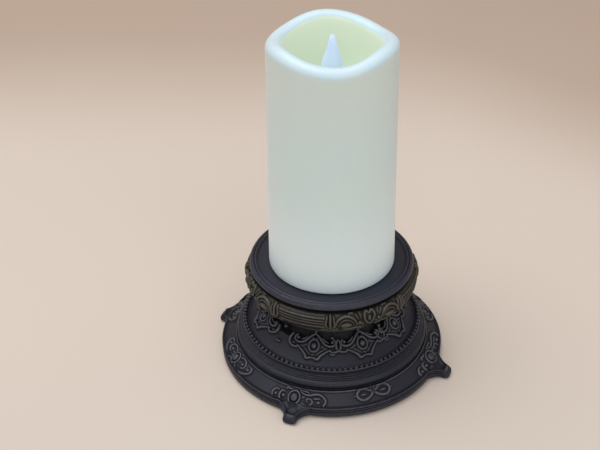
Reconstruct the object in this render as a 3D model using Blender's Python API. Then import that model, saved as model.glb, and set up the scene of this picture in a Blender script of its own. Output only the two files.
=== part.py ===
"""Flameless LED pillar candle on an ornate four-footed pedestal. Metres, +Z up, standing on z = 0."""

import math

import bmesh
import bpy
from mathutils import Matrix, Vector

# Clearance between pieces that touch or seat on each other
GAP = 0.0003
ROUND = 48  # steps round the large turned pieces
SMALL_ROUND = 16  # steps round the small ones

# Pedestal base
FLANGE_RADIUS = 0.0690
FLANGE_HEIGHT = 0.0075
FLANGE_LIFT = 0.0013  # the flange hangs just clear of the floor
BAND_TOP_RADIUS = 0.0592
BAND_TOP_Z = 0.0130
BEAD_RING_RADIUS = 0.0536
BEAD_RING_Z = 0.0245
BEAD_RADIUS = 0.0013
NECK_RADIUS = 0.0350
NECK_Z = 0.0405
BASE_WALL = 0.0042
WEB_THICKNESS = 0.0040
FOOT_AZIMUTH = math.radians(-112.0)
FOOT_SWAY = [math.radians(turn) for turn in (1.5, -3.2, 2.0, 1.3)]  # off an even spacing
FOOT_REACHES = (0.0096, 0.0104, 0.0097, 0.0070)  # beyond the flange
FOOT_HALF_WIDTH = 0.0044
FOOT_ROOT_HALF_WIDTH = 0.0105
FOOT_HEIGHT = 0.0062
CABOCHON_LENGTH = 0.0098
CABOCHON_WIDTH = 0.0076
CABOCHON_DEPTH = 0.0036
DOME_JEWEL_LENGTH = 0.0070
DOME_JEWEL_WIDTH = 0.0052
DOME_SWAY = [math.radians(turn) for turn in (6.2, 0.0, -8.6, -5.8)]  # off an even spacing
PAD_RADIUS = 0.0034
PAD_THICKNESS = 0.0010

# Leaf collar
COLLAR_RADIUS = 0.0520
COLLAR_WAIST_RADIUS = 0.0425
COLLAR_TOP_RADIUS = 0.0470
COLLAR_TOP_Z = 0.0625
COLLAR_WALL = 0.0045

# Candle plate
PLATE_RIM_WIDTH = 0.0049
PLATE_HEIGHT = 0.0058
PLATE_RECESS_DEPTH = 0.0016
RECESS_MARGIN = 0.0070  # round the candle's foot

# Tie bolt, M6
BOLT_RADIUS = 0.0029
BOLT_REACH = 0.0085  # above the plate boss's mouth
BOLT_HEAD_ACROSS = 0.0100
BOLT_HEAD_HEIGHT = 0.0040
WASHER_RADIUS = 0.0090
WASHER_THICKNESS = 0.0015
BOSS_RADIUS = 0.0080
BOSS_DEPTH = 0.0120

# Candle shell
CANDLE_RADIUS = 0.0376
CANDLE_TOP_RADIUS = 0.0360
CANDLE_HEIGHT = 0.1432  # to the lip's mean crest
LIP_WAVE = 0.0020
LIP_WAVE_TURN = 0.165  # radians
LIP_SLANT = 0.0006  # the lip stands higher at the back
LIP_TWIST = 0.0003
LIP_CREST_INSET = 0.0045
LIP_WIDTH = 0.0087
WELL_DEPTH = 0.0380
WELL_FLOOR_THICKNESS = 0.0040
SHELL_WALL = 0.0042
FOOT_ROUNDING = 0.0015

# Flame
FLAME_HEIGHT = 0.0400  # above the well floor
FLAME_RADIUS = 0.0075
FLAME_STEM_RADIUS = 0.0048
FLAME_WALL = 0.0013
FLAME_FLANGE_RADIUS = 0.0085
FLAME_FLANGE_THICKNESS = 0.0015

# Board
BOARD_RADIUS = 0.0155
BOARD_THICKNESS = 0.0016
BOARD_DROP = 0.0085  # below the well's ceiling
BOARD_SCREW_REACH = 0.0120
BOARD_SCREW_RADIUS = 0.0010
BOARD_BOSS_RADIUS = 0.0026
LED_RADIUS = 0.0025
LED_HEIGHT = 0.0086

# Battery housing and cells, two AA
CELL_RADIUS = 0.00725
CELL_LENGTH = 0.0505
CELL_PITCH = 0.0164
BORE_CLEARANCE = 0.00035
BAY_OFFSET = 0.0060  # the bay stands behind the axis, which leaves room for the switch
HOUSING_THICKNESS = 0.0050
TOWER_WALL = 0.0027
SPRING_HEIGHT = 0.0055
SPRING_RADIUS = 0.0042
WIRE_RADIUS = 0.0004
CONTACT_THICKNESS = 0.0006
ROOF_THICKNESS = 0.0020

# Twist-lock cap
CAP_ROUND = 32
CELL_ROUND = 20
CAP_RADIUS = 0.0198
CAP_THICKNESS = 0.0020
CAP_HUB_RADIUS = 0.0170
LEDGE_THICKNESS = 0.0015
TAB_THICKNESS = 0.0015
TAB_HALF_ANGLE = math.radians(18.0)
NOTCH_HALF_ANGLE = math.radians(21.0)
NOTCH_TURN = math.radians(45.0)

# Switch
SWITCH_OFFSET = 0.0222
SWITCH_SIZE = Vector((0.0130, 0.0064, 0.0052))
SWITCH_WALL = 0.0008
KNOB_TRAVEL = 0.0025
KNOB_LENGTH = 0.0030
KNOB_WIDTH = 0.0024

# Screws that hold the housing
SCREW_RADIUS = 0.0013
SCREW_LENGTH = 0.0110
SCREW_HEAD_RADIUS = 0.0026
SCREW_HEAD_HEIGHT = 0.0016
SCREW_BOSS_RADIUS = 0.0034

LEAD_RADIUS = 0.0006

# Levels that follow from the sizes above
PLATE_BOTTOM = COLLAR_TOP_Z + GAP
PLATE_TOP = PLATE_BOTTOM + PLATE_HEIGHT
SEAT_Z = PLATE_TOP - PLATE_RECESS_DEPTH
CANDLE_BOTTOM = SEAT_Z + GAP
CREST_Z = CANDLE_BOTTOM + CANDLE_HEIGHT
WELL_FLOOR = CREST_Z - WELL_DEPTH
CEILING = WELL_FLOOR - WELL_FLOOR_THICKNESS
HOUSING_BOTTOM = CANDLE_BOTTOM + 0.0007
HOUSING_TOP = HOUSING_BOTTOM + HOUSING_THICKNESS
CAVITY_RADIUS = CANDLE_RADIUS - SHELL_WALL
CAVITY_TOP_RADIUS = CANDLE_TOP_RADIUS - SHELL_WALL
HOUSING_RADIUS = CANDLE_RADIUS - 0.0031
SCREW_CIRCLE = CAVITY_RADIUS - SCREW_BOSS_RADIUS + 0.0004
BORE_RADIUS = CELL_RADIUS + BORE_CLEARANCE
CAP_BOTTOM = HOUSING_BOTTOM
LEDGE_BOTTOM = CAP_BOTTOM + CAP_THICKNESS + GAP
TAB_BOTTOM = LEDGE_BOTTOM + LEDGE_THICKNESS + GAP
TAB_TOP = TAB_BOTTOM + TAB_THICKNESS
STRIP_BOTTOM = TAB_TOP + GAP
CELL_BOTTOM = STRIP_BOTTOM + CONTACT_THICKNESS + GAP
CELL_TOP = CELL_BOTTOM + CELL_LENGTH
BAY_FLOOR = STRIP_BOTTOM + CONTACT_THICKNESS + GAP
POSITIVE_BOTTOM = CELL_TOP + GAP
NEGATIVE_BOTTOM = CELL_TOP + SPRING_HEIGHT + 2 * GAP
POSITIVE_ROOF = POSITIVE_BOTTOM + CONTACT_THICKNESS + GAP
NEGATIVE_ROOF = NEGATIVE_BOTTOM + CONTACT_THICKNESS + GAP
TOWER_TOP = NEGATIVE_ROOF + ROOF_THICKNESS
TOWER_RADIUS = CELL_PITCH / 2 + BORE_RADIUS + TOWER_WALL
TOWER_FOOT_RADIUS = CAP_RADIUS + GAP + TOWER_WALL
TOWER_FOOT_TOP = BAY_FLOOR + 0.0020
BOARD_BOTTOM = CEILING - BOARD_DROP - BOARD_THICKNESS
BOARD_TOP = BOARD_BOTTOM + BOARD_THICKNESS
BAY = Vector((0.0, BAY_OFFSET, 0.0))
SWITCH_PLACE = Vector((0.0, -SWITCH_OFFSET, 0.0))


def material(name, colour, roughness, metallic=0.0):
    made = bpy.data.materials.new(name)
    made.use_nodes = True
    shader = made.node_tree.nodes["Principled BSDF"]
    shader.inputs["Base Color"].default_value = (*colour, 1.0)
    shader.inputs["Roughness"].default_value = roughness
    shader.inputs["Metallic"].default_value = metallic
    made.diffuse_color = (*colour, 1.0)
    return made


def placed(name, mesh, look, origin=(0, 0, 0)):
    """An object whose mesh was drawn in world coordinates, with its own origin at a given place."""
    mesh.transform(Matrix.Translation(-Vector(origin)))
    mesh.shade_smooth()
    mesh.set_sharp_from_angle(angle=math.radians(32))
    made = bpy.data.objects.new(name, mesh)
    made.location = origin
    made.data.materials.append(look)
    bpy.context.scene.collection.objects.link(made)
    return made


def cutter(name, mesh):
    made = bpy.data.objects.new(name, mesh)
    made.hide_render = True
    made.display_type = "WIRE"
    bpy.context.scene.collection.objects.link(made)
    return made


def combine(target, helpers, operation):
    for helper in helpers:
        step = target.modifiers.new(helper.name, "BOOLEAN")
        step.object = helper
        step.operation = operation
        step.solver = "EXACT"


def mesh_of(name, shape):
    bmesh.ops.recalc_face_normals(shape, faces=shape.faces)
    mesh = bpy.data.meshes.new(name)
    shape.to_mesh(mesh)
    shape.free()
    return mesh


def turned(name, outline, steps=ROUND, centre=(0, 0), lift=None):
    """A closed outline of (radius, z) points turned about a vertical axis. lift(angle, z) raises points."""
    shape = bmesh.new()
    rings = []
    for radius, z in outline:
        ring = []
        for step in range(1 if radius == 0 else steps):
            angle = 2 * math.pi * step / steps
            x, y = centre[0] + radius * math.cos(angle), centre[1] + radius * math.sin(angle)
            ring.append(shape.verts.new((x, y, z + (lift(angle, z) if lift else 0.0))))
        rings.append(ring)
    for ring, following in zip(rings, rings[1:] + rings[:1]):
        narrow, wide = sorted((ring, following), key=len)
        if len(wide) > 1 == len(narrow) and abs(narrow[0].co.z - wide[0].co.z) < 1e-7:
            shape.faces.new(wide)
            continue
        for step in range(steps):
            after = step + 1
            corners = [ring[step % len(ring)], ring[after % len(ring)]]
            corners += [following[after % len(following)], following[step % len(following)]]
            corners = list(dict.fromkeys(corners))
            if len(corners) > 2:
                shape.faces.new(corners)
    loose = [vert for vert in shape.verts if not vert.link_faces]
    bmesh.ops.delete(shape, geom=loose, context="VERTS")
    return mesh_of(name, shape)


def prism(name, outline, bottom, top):
    """An upright prism on an outline of (x, y) points."""
    shape = bmesh.new()
    lower = shape.faces.new([shape.verts.new((x, y, bottom)) for x, y in outline])
    grown = bmesh.ops.extrude_face_region(shape, geom=[lower])
    raised = [item for item in grown["geom"] if isinstance(item, bmesh.types.BMVert)]
    bmesh.ops.translate(shape, verts=raised, vec=(0, 0, top - bottom))
    return mesh_of(name, shape)


def block(name, low, high):
    corners = [(low[0], low[1]), (high[0], low[1]), (high[0], high[1]), (low[0], high[1])]
    return prism(name, corners, low[2], high[2])


def disc(radius, bottom, top, steps=SMALL_ROUND):
    """The outline of a plain round piece, for turned()."""
    return [(0, bottom), (radius, bottom), (radius, top), (0, top)]


def egg(name, place, size, turn):
    """A low-polygon ellipsoid of given half sizes, laid at a place and turned by a rotation matrix."""
    shape = bmesh.new()
    bmesh.ops.create_uvsphere(shape, u_segments=8, v_segments=6, radius=1.0)
    shape.transform(Matrix.Translation(place) @ turn.to_4x4() @ Matrix.Diagonal((*size, 1.0)))
    return mesh_of(name, shape)


def arc(centre_r, centre_z, radius_r, radius_z, first, last, count):
    """Points on an elliptical arc in the outline plane, angles in degrees from +r towards +z."""
    points = []
    for step in range(count + 1):
        angle = math.radians(first + (last - first) * step / count)
        points.append((centre_r + radius_r * math.cos(angle), centre_z + radius_z * math.sin(angle)))
    return points


def polar(radius, angle, z=0.0):
    return Vector((radius * math.cos(angle), radius * math.sin(angle), z))


def wire(name, route, radius, look, sides=2, per_span=6):
    """A round wire along a smooth curve through the route's points."""
    points = [Vector(point) for point in route]
    ends = [points[0] * 2 - points[1]] + points + [points[-1] * 2 - points[-2]]
    path = []
    for before, start, end, after in zip(ends, ends[1:], ends[2:], ends[3:]):
        for step in range(per_span):
            t = step / per_span
            path.append(
                0.5
                * (
                    2 * start
                    + (end - before) * t
                    + (2 * before - 5 * start + 4 * end - after) * t**2
                    + (3 * start - before - 3 * end + after) * t**3
                )
            )
    path.append(points[-1])
    curve = bpy.data.curves.new(name, "CURVE")
    curve.dimensions = "3D"
    curve.bevel_depth = radius
    curve.bevel_resolution = sides
    curve.use_fill_caps = True
    spline = curve.splines.new("POLY")
    spline.points.add(len(path) - 1)
    for point, place in zip(spline.points, path):
        point.co = (*place, 1.0)
    curve.materials.append(look)
    made = bpy.data.objects.new(name, curve)
    bpy.context.scene.collection.objects.link(made)
    return made


# Pedestal base


def base_outline():
    """Outside from the flange's foot up to the neck, then the web, and the hollow underside down again."""
    flange_top = FLANGE_HEIGHT
    dome_foot = BEAD_RING_RADIUS - 0.0016
    dome_rise = NECK_Z - BEAD_RING_Z
    outside = [
        (FLANGE_RADIUS - 0.0006, FLANGE_LIFT),
        (FLANGE_RADIUS - 0.0005, flange_top - 0.0029),
        (FLANGE_RADIUS - 0.0013, flange_top - 0.0024),
        (FLANGE_RADIUS, flange_top - 0.0018),
        (FLANGE_RADIUS, flange_top - 0.0004),
        (FLANGE_RADIUS - 0.0007, flange_top),
        (BAND_TOP_RADIUS + 0.0007, BAND_TOP_Z),
        (BAND_TOP_RADIUS, BAND_TOP_Z - 0.0002),
    ]
    outside += arc(BAND_TOP_RADIUS - 0.0040, BAND_TOP_Z + 0.0024, 0.0038, 0.0032, -30, 75, 5)
    outside += [
        (BEAD_RING_RADIUS + 0.0022, BEAD_RING_Z - 0.0024),
        (BEAD_RING_RADIUS + 0.0018, BEAD_RING_Z - 0.0012),
    ]
    outside += arc(BEAD_RING_RADIUS, BEAD_RING_Z, BEAD_RADIUS, BEAD_RADIUS, 0, 150, 4)
    for share, rise in ((0.0, 0.0), (0.25, 0.14), (0.5, 0.33), (0.75, 0.58), (0.93, 0.84), (1.0, 1.0)):
        radius = dome_foot + (NECK_RADIUS - dome_foot) * share
        outside.append((radius, BEAD_RING_Z + dome_rise * rise))
    web_bottom = NECK_Z - WEB_THICKNESS
    inside = [
        (BOLT_RADIUS + GAP, NECK_Z),
        (BOLT_RADIUS + GAP, web_bottom),
        (NECK_RADIUS - BASE_WALL, web_bottom),
        (dome_foot - BASE_WALL - 0.0040, BEAD_RING_Z - 0.0010),
        (BEAD_RING_RADIUS - BASE_WALL, BAND_TOP_Z + 0.0020),
        (BAND_TOP_RADIUS - BASE_WALL, BAND_TOP_Z - 0.0040),
        (FLANGE_RADIUS - BASE_WALL, FLANGE_HEIGHT - 0.0034),
        (FLANGE_RADIUS - BASE_WALL + 0.0006, FLANGE_LIFT),
    ]
    return outside + inside


def foot_outline(reach):
    """Plan of one foot along +X: a round knob that flares back into the flange."""
    root = FLANGE_RADIUS - 0.0022
    knob = FLANGE_RADIUS + reach - FOOT_HALF_WIDTH
    side = []
    for step in range(5):
        share = step / 4
        width = FOOT_HALF_WIDTH + (FOOT_ROOT_HALF_WIDTH - FOOT_HALF_WIDTH) * (1 - share) ** 2.6
        side.append((root + (knob - root) * share, width))
    tip = []
    for step in range(1, 6):
        angle = math.pi / 2 - math.pi * step / 6
        tip.append((knob + FOOT_HALF_WIDTH * math.cos(angle), FOOT_HALF_WIDTH * math.sin(angle)))
    return side + tip + [(x, -y) for x, y in reversed(side)]


def foot_azimuth(index):
    return FOOT_AZIMUTH + index * math.pi / 2 + FOOT_SWAY[index]


def foot(index):
    angle = foot_azimuth(index)
    outline = foot_outline(FOOT_REACHES[index])
    mesh = prism(f"foot_{index + 1}", outline, FLANGE_LIFT, FOOT_HEIGHT)
    mesh.transform(Matrix.Rotation(angle, 4, "Z"))
    return cutter(f"foot_{index + 1}", mesh)


def band_tilt():
    return math.atan2(BAND_TOP_Z - FLANGE_HEIGHT, FLANGE_RADIUS - BAND_TOP_RADIUS)


def band_cabochon(index):
    """An oval boss on the ornament band: one over each foot and one between each two."""
    angle = FOOT_AZIMUTH + index * math.pi / 4
    middle = (FLANGE_RADIUS + BAND_TOP_RADIUS) / 2
    place = polar(middle, angle, (FLANGE_HEIGHT + BAND_TOP_Z) / 2 - 0.0004)
    turn = Matrix.Rotation(angle, 3, "Z") @ Matrix.Rotation(band_tilt(), 3, "Y")
    size = (CABOCHON_WIDTH / 2, CABOCHON_LENGTH / 2, CABOCHON_DEPTH / 2)
    name = f"band_cabochon_{index + 1}"
    return cutter(name, egg(name, place, size, turn))


def dome_jewel(index):
    """An oval boss half way up the dome, in the middle of each scroll."""
    angle = FOOT_AZIMUTH + index * math.pi / 4 + DOME_SWAY[index % 4]
    radius = BEAD_RING_RADIUS - 0.0016 + (NECK_RADIUS - BEAD_RING_RADIUS + 0.0016) * 0.70
    place = polar(radius, angle, BEAD_RING_Z + (NECK_Z - BEAD_RING_Z) * 0.53)
    turn = Matrix.Rotation(angle, 3, "Z") @ Matrix.Rotation(math.radians(46), 3, "Y")
    size = (DOME_JEWEL_LENGTH / 2, DOME_JEWEL_WIDTH / 2, 0.0017)
    name = f"dome_jewel_{index + 1}"
    return cutter(name, egg(name, place, size, turn))


def pedestal_base(look):
    made = placed("pedestal_base", turned("pedestal_base", base_outline()), look)
    combine(made, [foot(index) for index in range(4)], "UNION")
    combine(made, [band_cabochon(index) for index in range(8)], "UNION")
    combine(made, [dome_jewel(index) for index in range(8)], "UNION")


def foot_pads(look):
    for index in range(4):
        reach = FLANGE_RADIUS + FOOT_REACHES[index] - FOOT_HALF_WIDTH
        place = polar(reach, foot_azimuth(index))
        outline = disc(PAD_RADIUS, 0.0, PAD_THICKNESS)
        name = f"foot_pad_{index + 1}"
        placed(name, turned(name, outline, 12, (place.x, place.y)), look, place)


def leaf_collar(look):
    bottom = NECK_Z + GAP
    height = COLLAR_TOP_Z - bottom
    belly_z = bottom + height * 0.74
    outside = [
        (NECK_RADIUS - 0.0004, bottom),
        (NECK_RADIUS + 0.0016, bottom + 0.0012),
        (COLLAR_WAIST_RADIUS, bottom + height * 0.17),
        (COLLAR_WAIST_RADIUS, bottom + height * 0.31),
        (COLLAR_WAIST_RADIUS + 0.0040, bottom + height * 0.40),
    ]
    belly_r = COLLAR_RADIUS - COLLAR_WAIST_RADIUS - 0.0045
    outside += arc(COLLAR_RADIUS - belly_r, belly_z, belly_r, height * 0.26, -62, 72, 7)
    outside.append((COLLAR_TOP_RADIUS, COLLAR_TOP_Z))
    inside = [
        (COLLAR_TOP_RADIUS - COLLAR_WALL * 1.6, COLLAR_TOP_Z),
        (COLLAR_TOP_RADIUS - COLLAR_WALL, belly_z),
        (COLLAR_WAIST_RADIUS - COLLAR_WALL, bottom + height * 0.30),
        (NECK_RADIUS - 0.0050, bottom),
    ]
    placed("leaf_collar", turned("leaf_collar", outside + inside), look)


def candle_plate(look):
    recess = CANDLE_RADIUS + RECESS_MARGIN
    rim = recess + PLATE_RIM_WIDTH
    hole = BOLT_RADIUS + GAP
    mouth = PLATE_BOTTOM - BOSS_DEPTH
    outline = [
        (hole, mouth),
        (BOSS_RADIUS, mouth),
        (BOSS_RADIUS, PLATE_BOTTOM),
        (rim - 0.0040, PLATE_BOTTOM),
        (rim - 0.0006, PLATE_BOTTOM + 0.0022),
        (rim, PLATE_BOTTOM + 0.0030),
        (rim - 0.0005, PLATE_TOP - 0.0014),
        (rim - 0.0014, PLATE_TOP - 0.0005),
        (rim - 0.0022, PLATE_TOP),
        (rim - 0.0032, PLATE_TOP - 0.0002),
        (rim - 0.0038, PLATE_TOP - 0.0007),
        (rim - 0.0046, PLATE_TOP - 0.0008),
        (recess, SEAT_Z),
        (0, SEAT_Z),
        (0, mouth + BOLT_REACH + 0.0010),
        (hole, mouth + BOLT_REACH + 0.0010),
    ]
    placed("candle_plate", turned("candle_plate", outline), look)


def tie_bolt(look):
    seat = NECK_Z - WEB_THICKNESS - 2 * GAP - WASHER_THICKNESS
    head = seat - BOLT_HEAD_HEIGHT
    corners = [polar(BOLT_HEAD_ACROSS / 2 / math.cos(math.pi / 6), k * math.pi / 3) for k in range(6)]
    shank = [(0, head + 0.001), (BOLT_RADIUS, head + 0.001)]
    top = PLATE_BOTTOM - BOSS_DEPTH + BOLT_REACH
    shank += [(BOLT_RADIUS, top - 0.0008), (BOLT_RADIUS - 0.0008, top), (0, top)]
    mesh = prism("tie_bolt", [(c.x, c.y) for c in corners], head, seat)
    made = placed("tie_bolt", mesh, look)
    combine(made, [cutter("tie_bolt_shank", turned("tie_bolt_shank", shank, SMALL_ROUND))], "UNION")


def tie_washer(look):
    top = NECK_Z - WEB_THICKNESS - GAP
    hole = BOLT_RADIUS + GAP
    bottom = top - WASHER_THICKNESS
    outline = [(hole, bottom), (WASHER_RADIUS, bottom), (WASHER_RADIUS, top), (hole, top)]
    placed("tie_washer", turned("tie_washer", outline, SMALL_ROUND), look)


# Candle


def lip_lift(angle, z):
    """Three soft waves round the lip and a slight slant, which fade out below it."""
    share = max(0.0, min(1.0, (z - (CREST_Z - 0.0200)) / 0.0150))
    ease = share * share * (3 - 2 * share)
    wave = LIP_WAVE * math.sin(3 * angle - LIP_WAVE_TURN)
    return (LIP_SLANT * math.sin(angle) - wave - LIP_TWIST * math.sin(2 * angle)) * ease


def shell_outline():
    opening = CANDLE_TOP_RADIUS - LIP_WIDTH
    crest = CANDLE_TOP_RADIUS - LIP_CREST_INSET
    outside = [
        (CANDLE_RADIUS - FOOT_ROUNDING, CANDLE_BOTTOM),
        (CANDLE_RADIUS - FOOT_ROUNDING * 0.3, CANDLE_BOTTOM + FOOT_ROUNDING * 0.3),
        (CANDLE_RADIUS, CANDLE_BOTTOM + FOOT_ROUNDING),
    ]
    for drop in (0.0200, 0.0160, 0.0120, 0.0080):
        outside.append((CANDLE_TOP_RADIUS, CREST_Z - drop))
    outside += arc(crest, CREST_Z - 0.0045, LIP_CREST_INSET, 0.0045, 12, 90, 5)
    inner = CANDLE_TOP_RADIUS - LIP_CREST_INSET - opening
    well = arc(crest, CREST_Z - 0.0040, inner, 0.0040, 115, 175, 3)
    well += [(opening - 0.0004, CREST_Z - 0.0120), (opening - 0.0007, CREST_Z - 0.0200)]
    round_r, round_z = opening - 0.0110, 0.0120
    well += arc(round_r, WELL_FLOOR + 0.0012 + round_z, 0.0100, round_z, 0, -80, 5)
    well += [
        (FLAME_STEM_RADIUS + GAP + 0.0012, WELL_FLOOR),
        (FLAME_STEM_RADIUS + GAP, WELL_FLOOR),
        (FLAME_STEM_RADIUS + GAP, CEILING),
    ]
    ledge = HOUSING_TOP + GAP
    inside = [
        (CAVITY_TOP_RADIUS - 0.0110, CEILING),
        (CAVITY_TOP_RADIUS - 0.0020, CEILING - 0.0050),
        (CAVITY_TOP_RADIUS, CEILING - 0.0140),
        (CAVITY_RADIUS, ledge),
        (HOUSING_RADIUS + GAP, ledge),
        (HOUSING_RADIUS + GAP, CANDLE_BOTTOM),
    ]
    return outside + well + inside


def post(name, radius, hole, place, bottom, top, top_open):
    """A screw boss: a round post with a hole that starts at its lower end."""
    hole_top = top - top_open
    outline = [(hole, bottom), (radius, bottom), (radius, top), (0, top), (0, hole_top), (hole, hole_top)]
    return cutter(name, turned(name, outline, 12, (place.x, place.y)))


def base_screw_places():
    return [polar(SCREW_CIRCLE, math.radians(angle)) for angle in (30, 150, 270)]


def board_screw_places():
    return [Vector((side * BOARD_SCREW_REACH, 0, 0)) for side in (-1, 1)]


def candle_shell(look):
    mesh = turned("candle_shell", shell_outline(), lift=lip_lift)
    made = placed("candle_shell", mesh, look)
    posts = []
    for number, place in enumerate(base_screw_places(), 1):
        low = HOUSING_TOP + GAP
        hole = SCREW_RADIUS + GAP
        top = low + SCREW_LENGTH
        posts.append(post(f"base_post_{number}", SCREW_BOSS_RADIUS, hole, place, low, top, 0.0020))
    for number, place in enumerate(board_screw_places(), 1):
        low = BOARD_TOP + GAP
        hole = BOARD_SCREW_RADIUS + GAP
        top = CEILING + 0.0010
        posts.append(post(f"board_post_{number}", BOARD_BOSS_RADIUS, hole, place, low, top, 0.0030))
    combine(made, posts, "UNION")


def flame_lens(look):
    bottom = CEILING - GAP - FLAME_FLANGE_THICKNESS
    tip = WELL_FLOOR + FLAME_HEIGHT
    stem = FLAME_STEM_RADIUS
    bore = stem - FLAME_WALL
    outline = [
        (bore, bottom),
        (FLAME_FLANGE_RADIUS, bottom),
        (FLAME_FLANGE_RADIUS, bottom + FLAME_FLANGE_THICKNESS),
        (stem, bottom + FLAME_FLANGE_THICKNESS),
        (stem, WELL_FLOOR + 0.0015),
    ]
    shares = ((0.13, 0.80), (0.22, 0.95), (0.32, 1.0), (0.43, 0.95), (0.55, 0.835), (0.68, 0.68))
    shares += ((0.76, 0.57), (0.84, 0.455), (0.92, 0.355), (0.97, 0.22))
    outside = [(FLAME_RADIUS * width, WELL_FLOOR + FLAME_HEIGHT * rise) for rise, width in shares]
    outline += outside + [(0, tip)]
    hollow = [(radius - FLAME_WALL, z) for radius, z in outside[:-3]]
    outline += [(0, hollow[-1][1] + 0.0020)] + hollow[::-1] + [(bore, WELL_FLOOR + 0.0015)]
    placed("flame_lens", turned("flame_lens", outline, SMALL_ROUND), look)


def led(look):
    low = BOARD_TOP + GAP
    dome = low + LED_HEIGHT - LED_RADIUS
    outline = [(0, low), (LED_RADIUS + 0.0004, low), (LED_RADIUS + 0.0004, low + 0.0010)]
    outline += [(LED_RADIUS, low + 0.0010)] + arc(0, dome, LED_RADIUS, LED_RADIUS, 0, 72, 4)
    outline.append((0, low + LED_HEIGHT))
    placed("led", turned("led", outline, 16), look)


def control_board(look):
    outline = disc(BOARD_RADIUS, BOARD_BOTTOM, BOARD_TOP)
    made = placed("control_board", turned("control_board", outline, CELL_ROUND), look)
    holes = []
    for number, place in enumerate(board_screw_places(), 1):
        name = f"board_hole_{number}"
        outline = disc(BOARD_SCREW_RADIUS + GAP, BOARD_BOTTOM - 0.001, BOARD_TOP + 0.001)
        holes.append(cutter(name, turned(name, outline, 12, (place.x, place.y))))
    combine(made, holes, "DIFFERENCE")


def board_parts(chip_look, can_look, resistor_look):
    top = BOARD_BOTTOM - GAP
    placed("timer_chip", block("timer_chip", (0.0030, 0.0030, top - 0.0016), (0.0080, 0.0072, top)), chip_look)
    for name, look, centre, radius, half in (
        ("crystal", can_look, (0.0045, -0.0045), 0.0011, 0.0030),
        ("resistor", resistor_look, (-0.0045, -0.0020), 0.0010, 0.0032),
    ):
        mesh = turned(name, disc(radius, -half, half), 12)
        mesh.transform(Matrix.Rotation(math.pi / 2, 4, "Y"))
        mesh.transform(Matrix.Translation((*centre, top - radius)))
        placed(name, mesh, look)


def screw(name, radius, head_radius, head_height, length, place, seat, look):
    """A pan-head screw that points up, its head under the seat."""
    tip = seat + length
    outline = [
        (0, seat - head_height),
        (head_radius - 0.0006, seat - head_height),
        (head_radius, seat - head_height + 0.0006),
        (head_radius, seat),
        (radius, seat),
        (radius, tip - 0.0008),
        (0, tip),
    ]
    placed(name, turned(name, outline, 12, (place.x, place.y)), look, (place.x, place.y, seat))


def screws(look):
    for number, place in enumerate(base_screw_places(), 1):
        seat = HOUSING_BOTTOM + SCREW_HEAD_HEIGHT + 0.0004
        length = SCREW_LENGTH
        name = f"base_screw_{number}"
        screw(name, SCREW_RADIUS, SCREW_HEAD_RADIUS, SCREW_HEAD_HEIGHT, length, place, seat, look)
    for number, place in enumerate(board_screw_places(), 1):
        seat = BOARD_BOTTOM - GAP
        name = f"board_screw_{number}"
        screw(name, BOARD_SCREW_RADIUS, 0.0019, 0.0012, 0.0060, place, seat, look)


# Battery housing


def sector(name, radius, half_angle, middle, bottom, top):
    """A prism on part of a ring round the battery bay's axis, from half the radius outwards."""
    outline = []
    for step in range(7):
        angle = middle - half_angle + 2 * half_angle * step / 6
        outline.append(BAY + polar(radius, angle))
    outline.append(BAY + polar(radius / 2, middle + half_angle))
    outline.append(BAY + polar(radius / 2, middle - half_angle))
    return prism(name, [(corner.x, corner.y) for corner in outline], bottom, top)


def cell_places():
    return [BAY + Vector((side * CELL_PITCH / 2, 0, 0)) for side in (-1, 1)]


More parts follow.
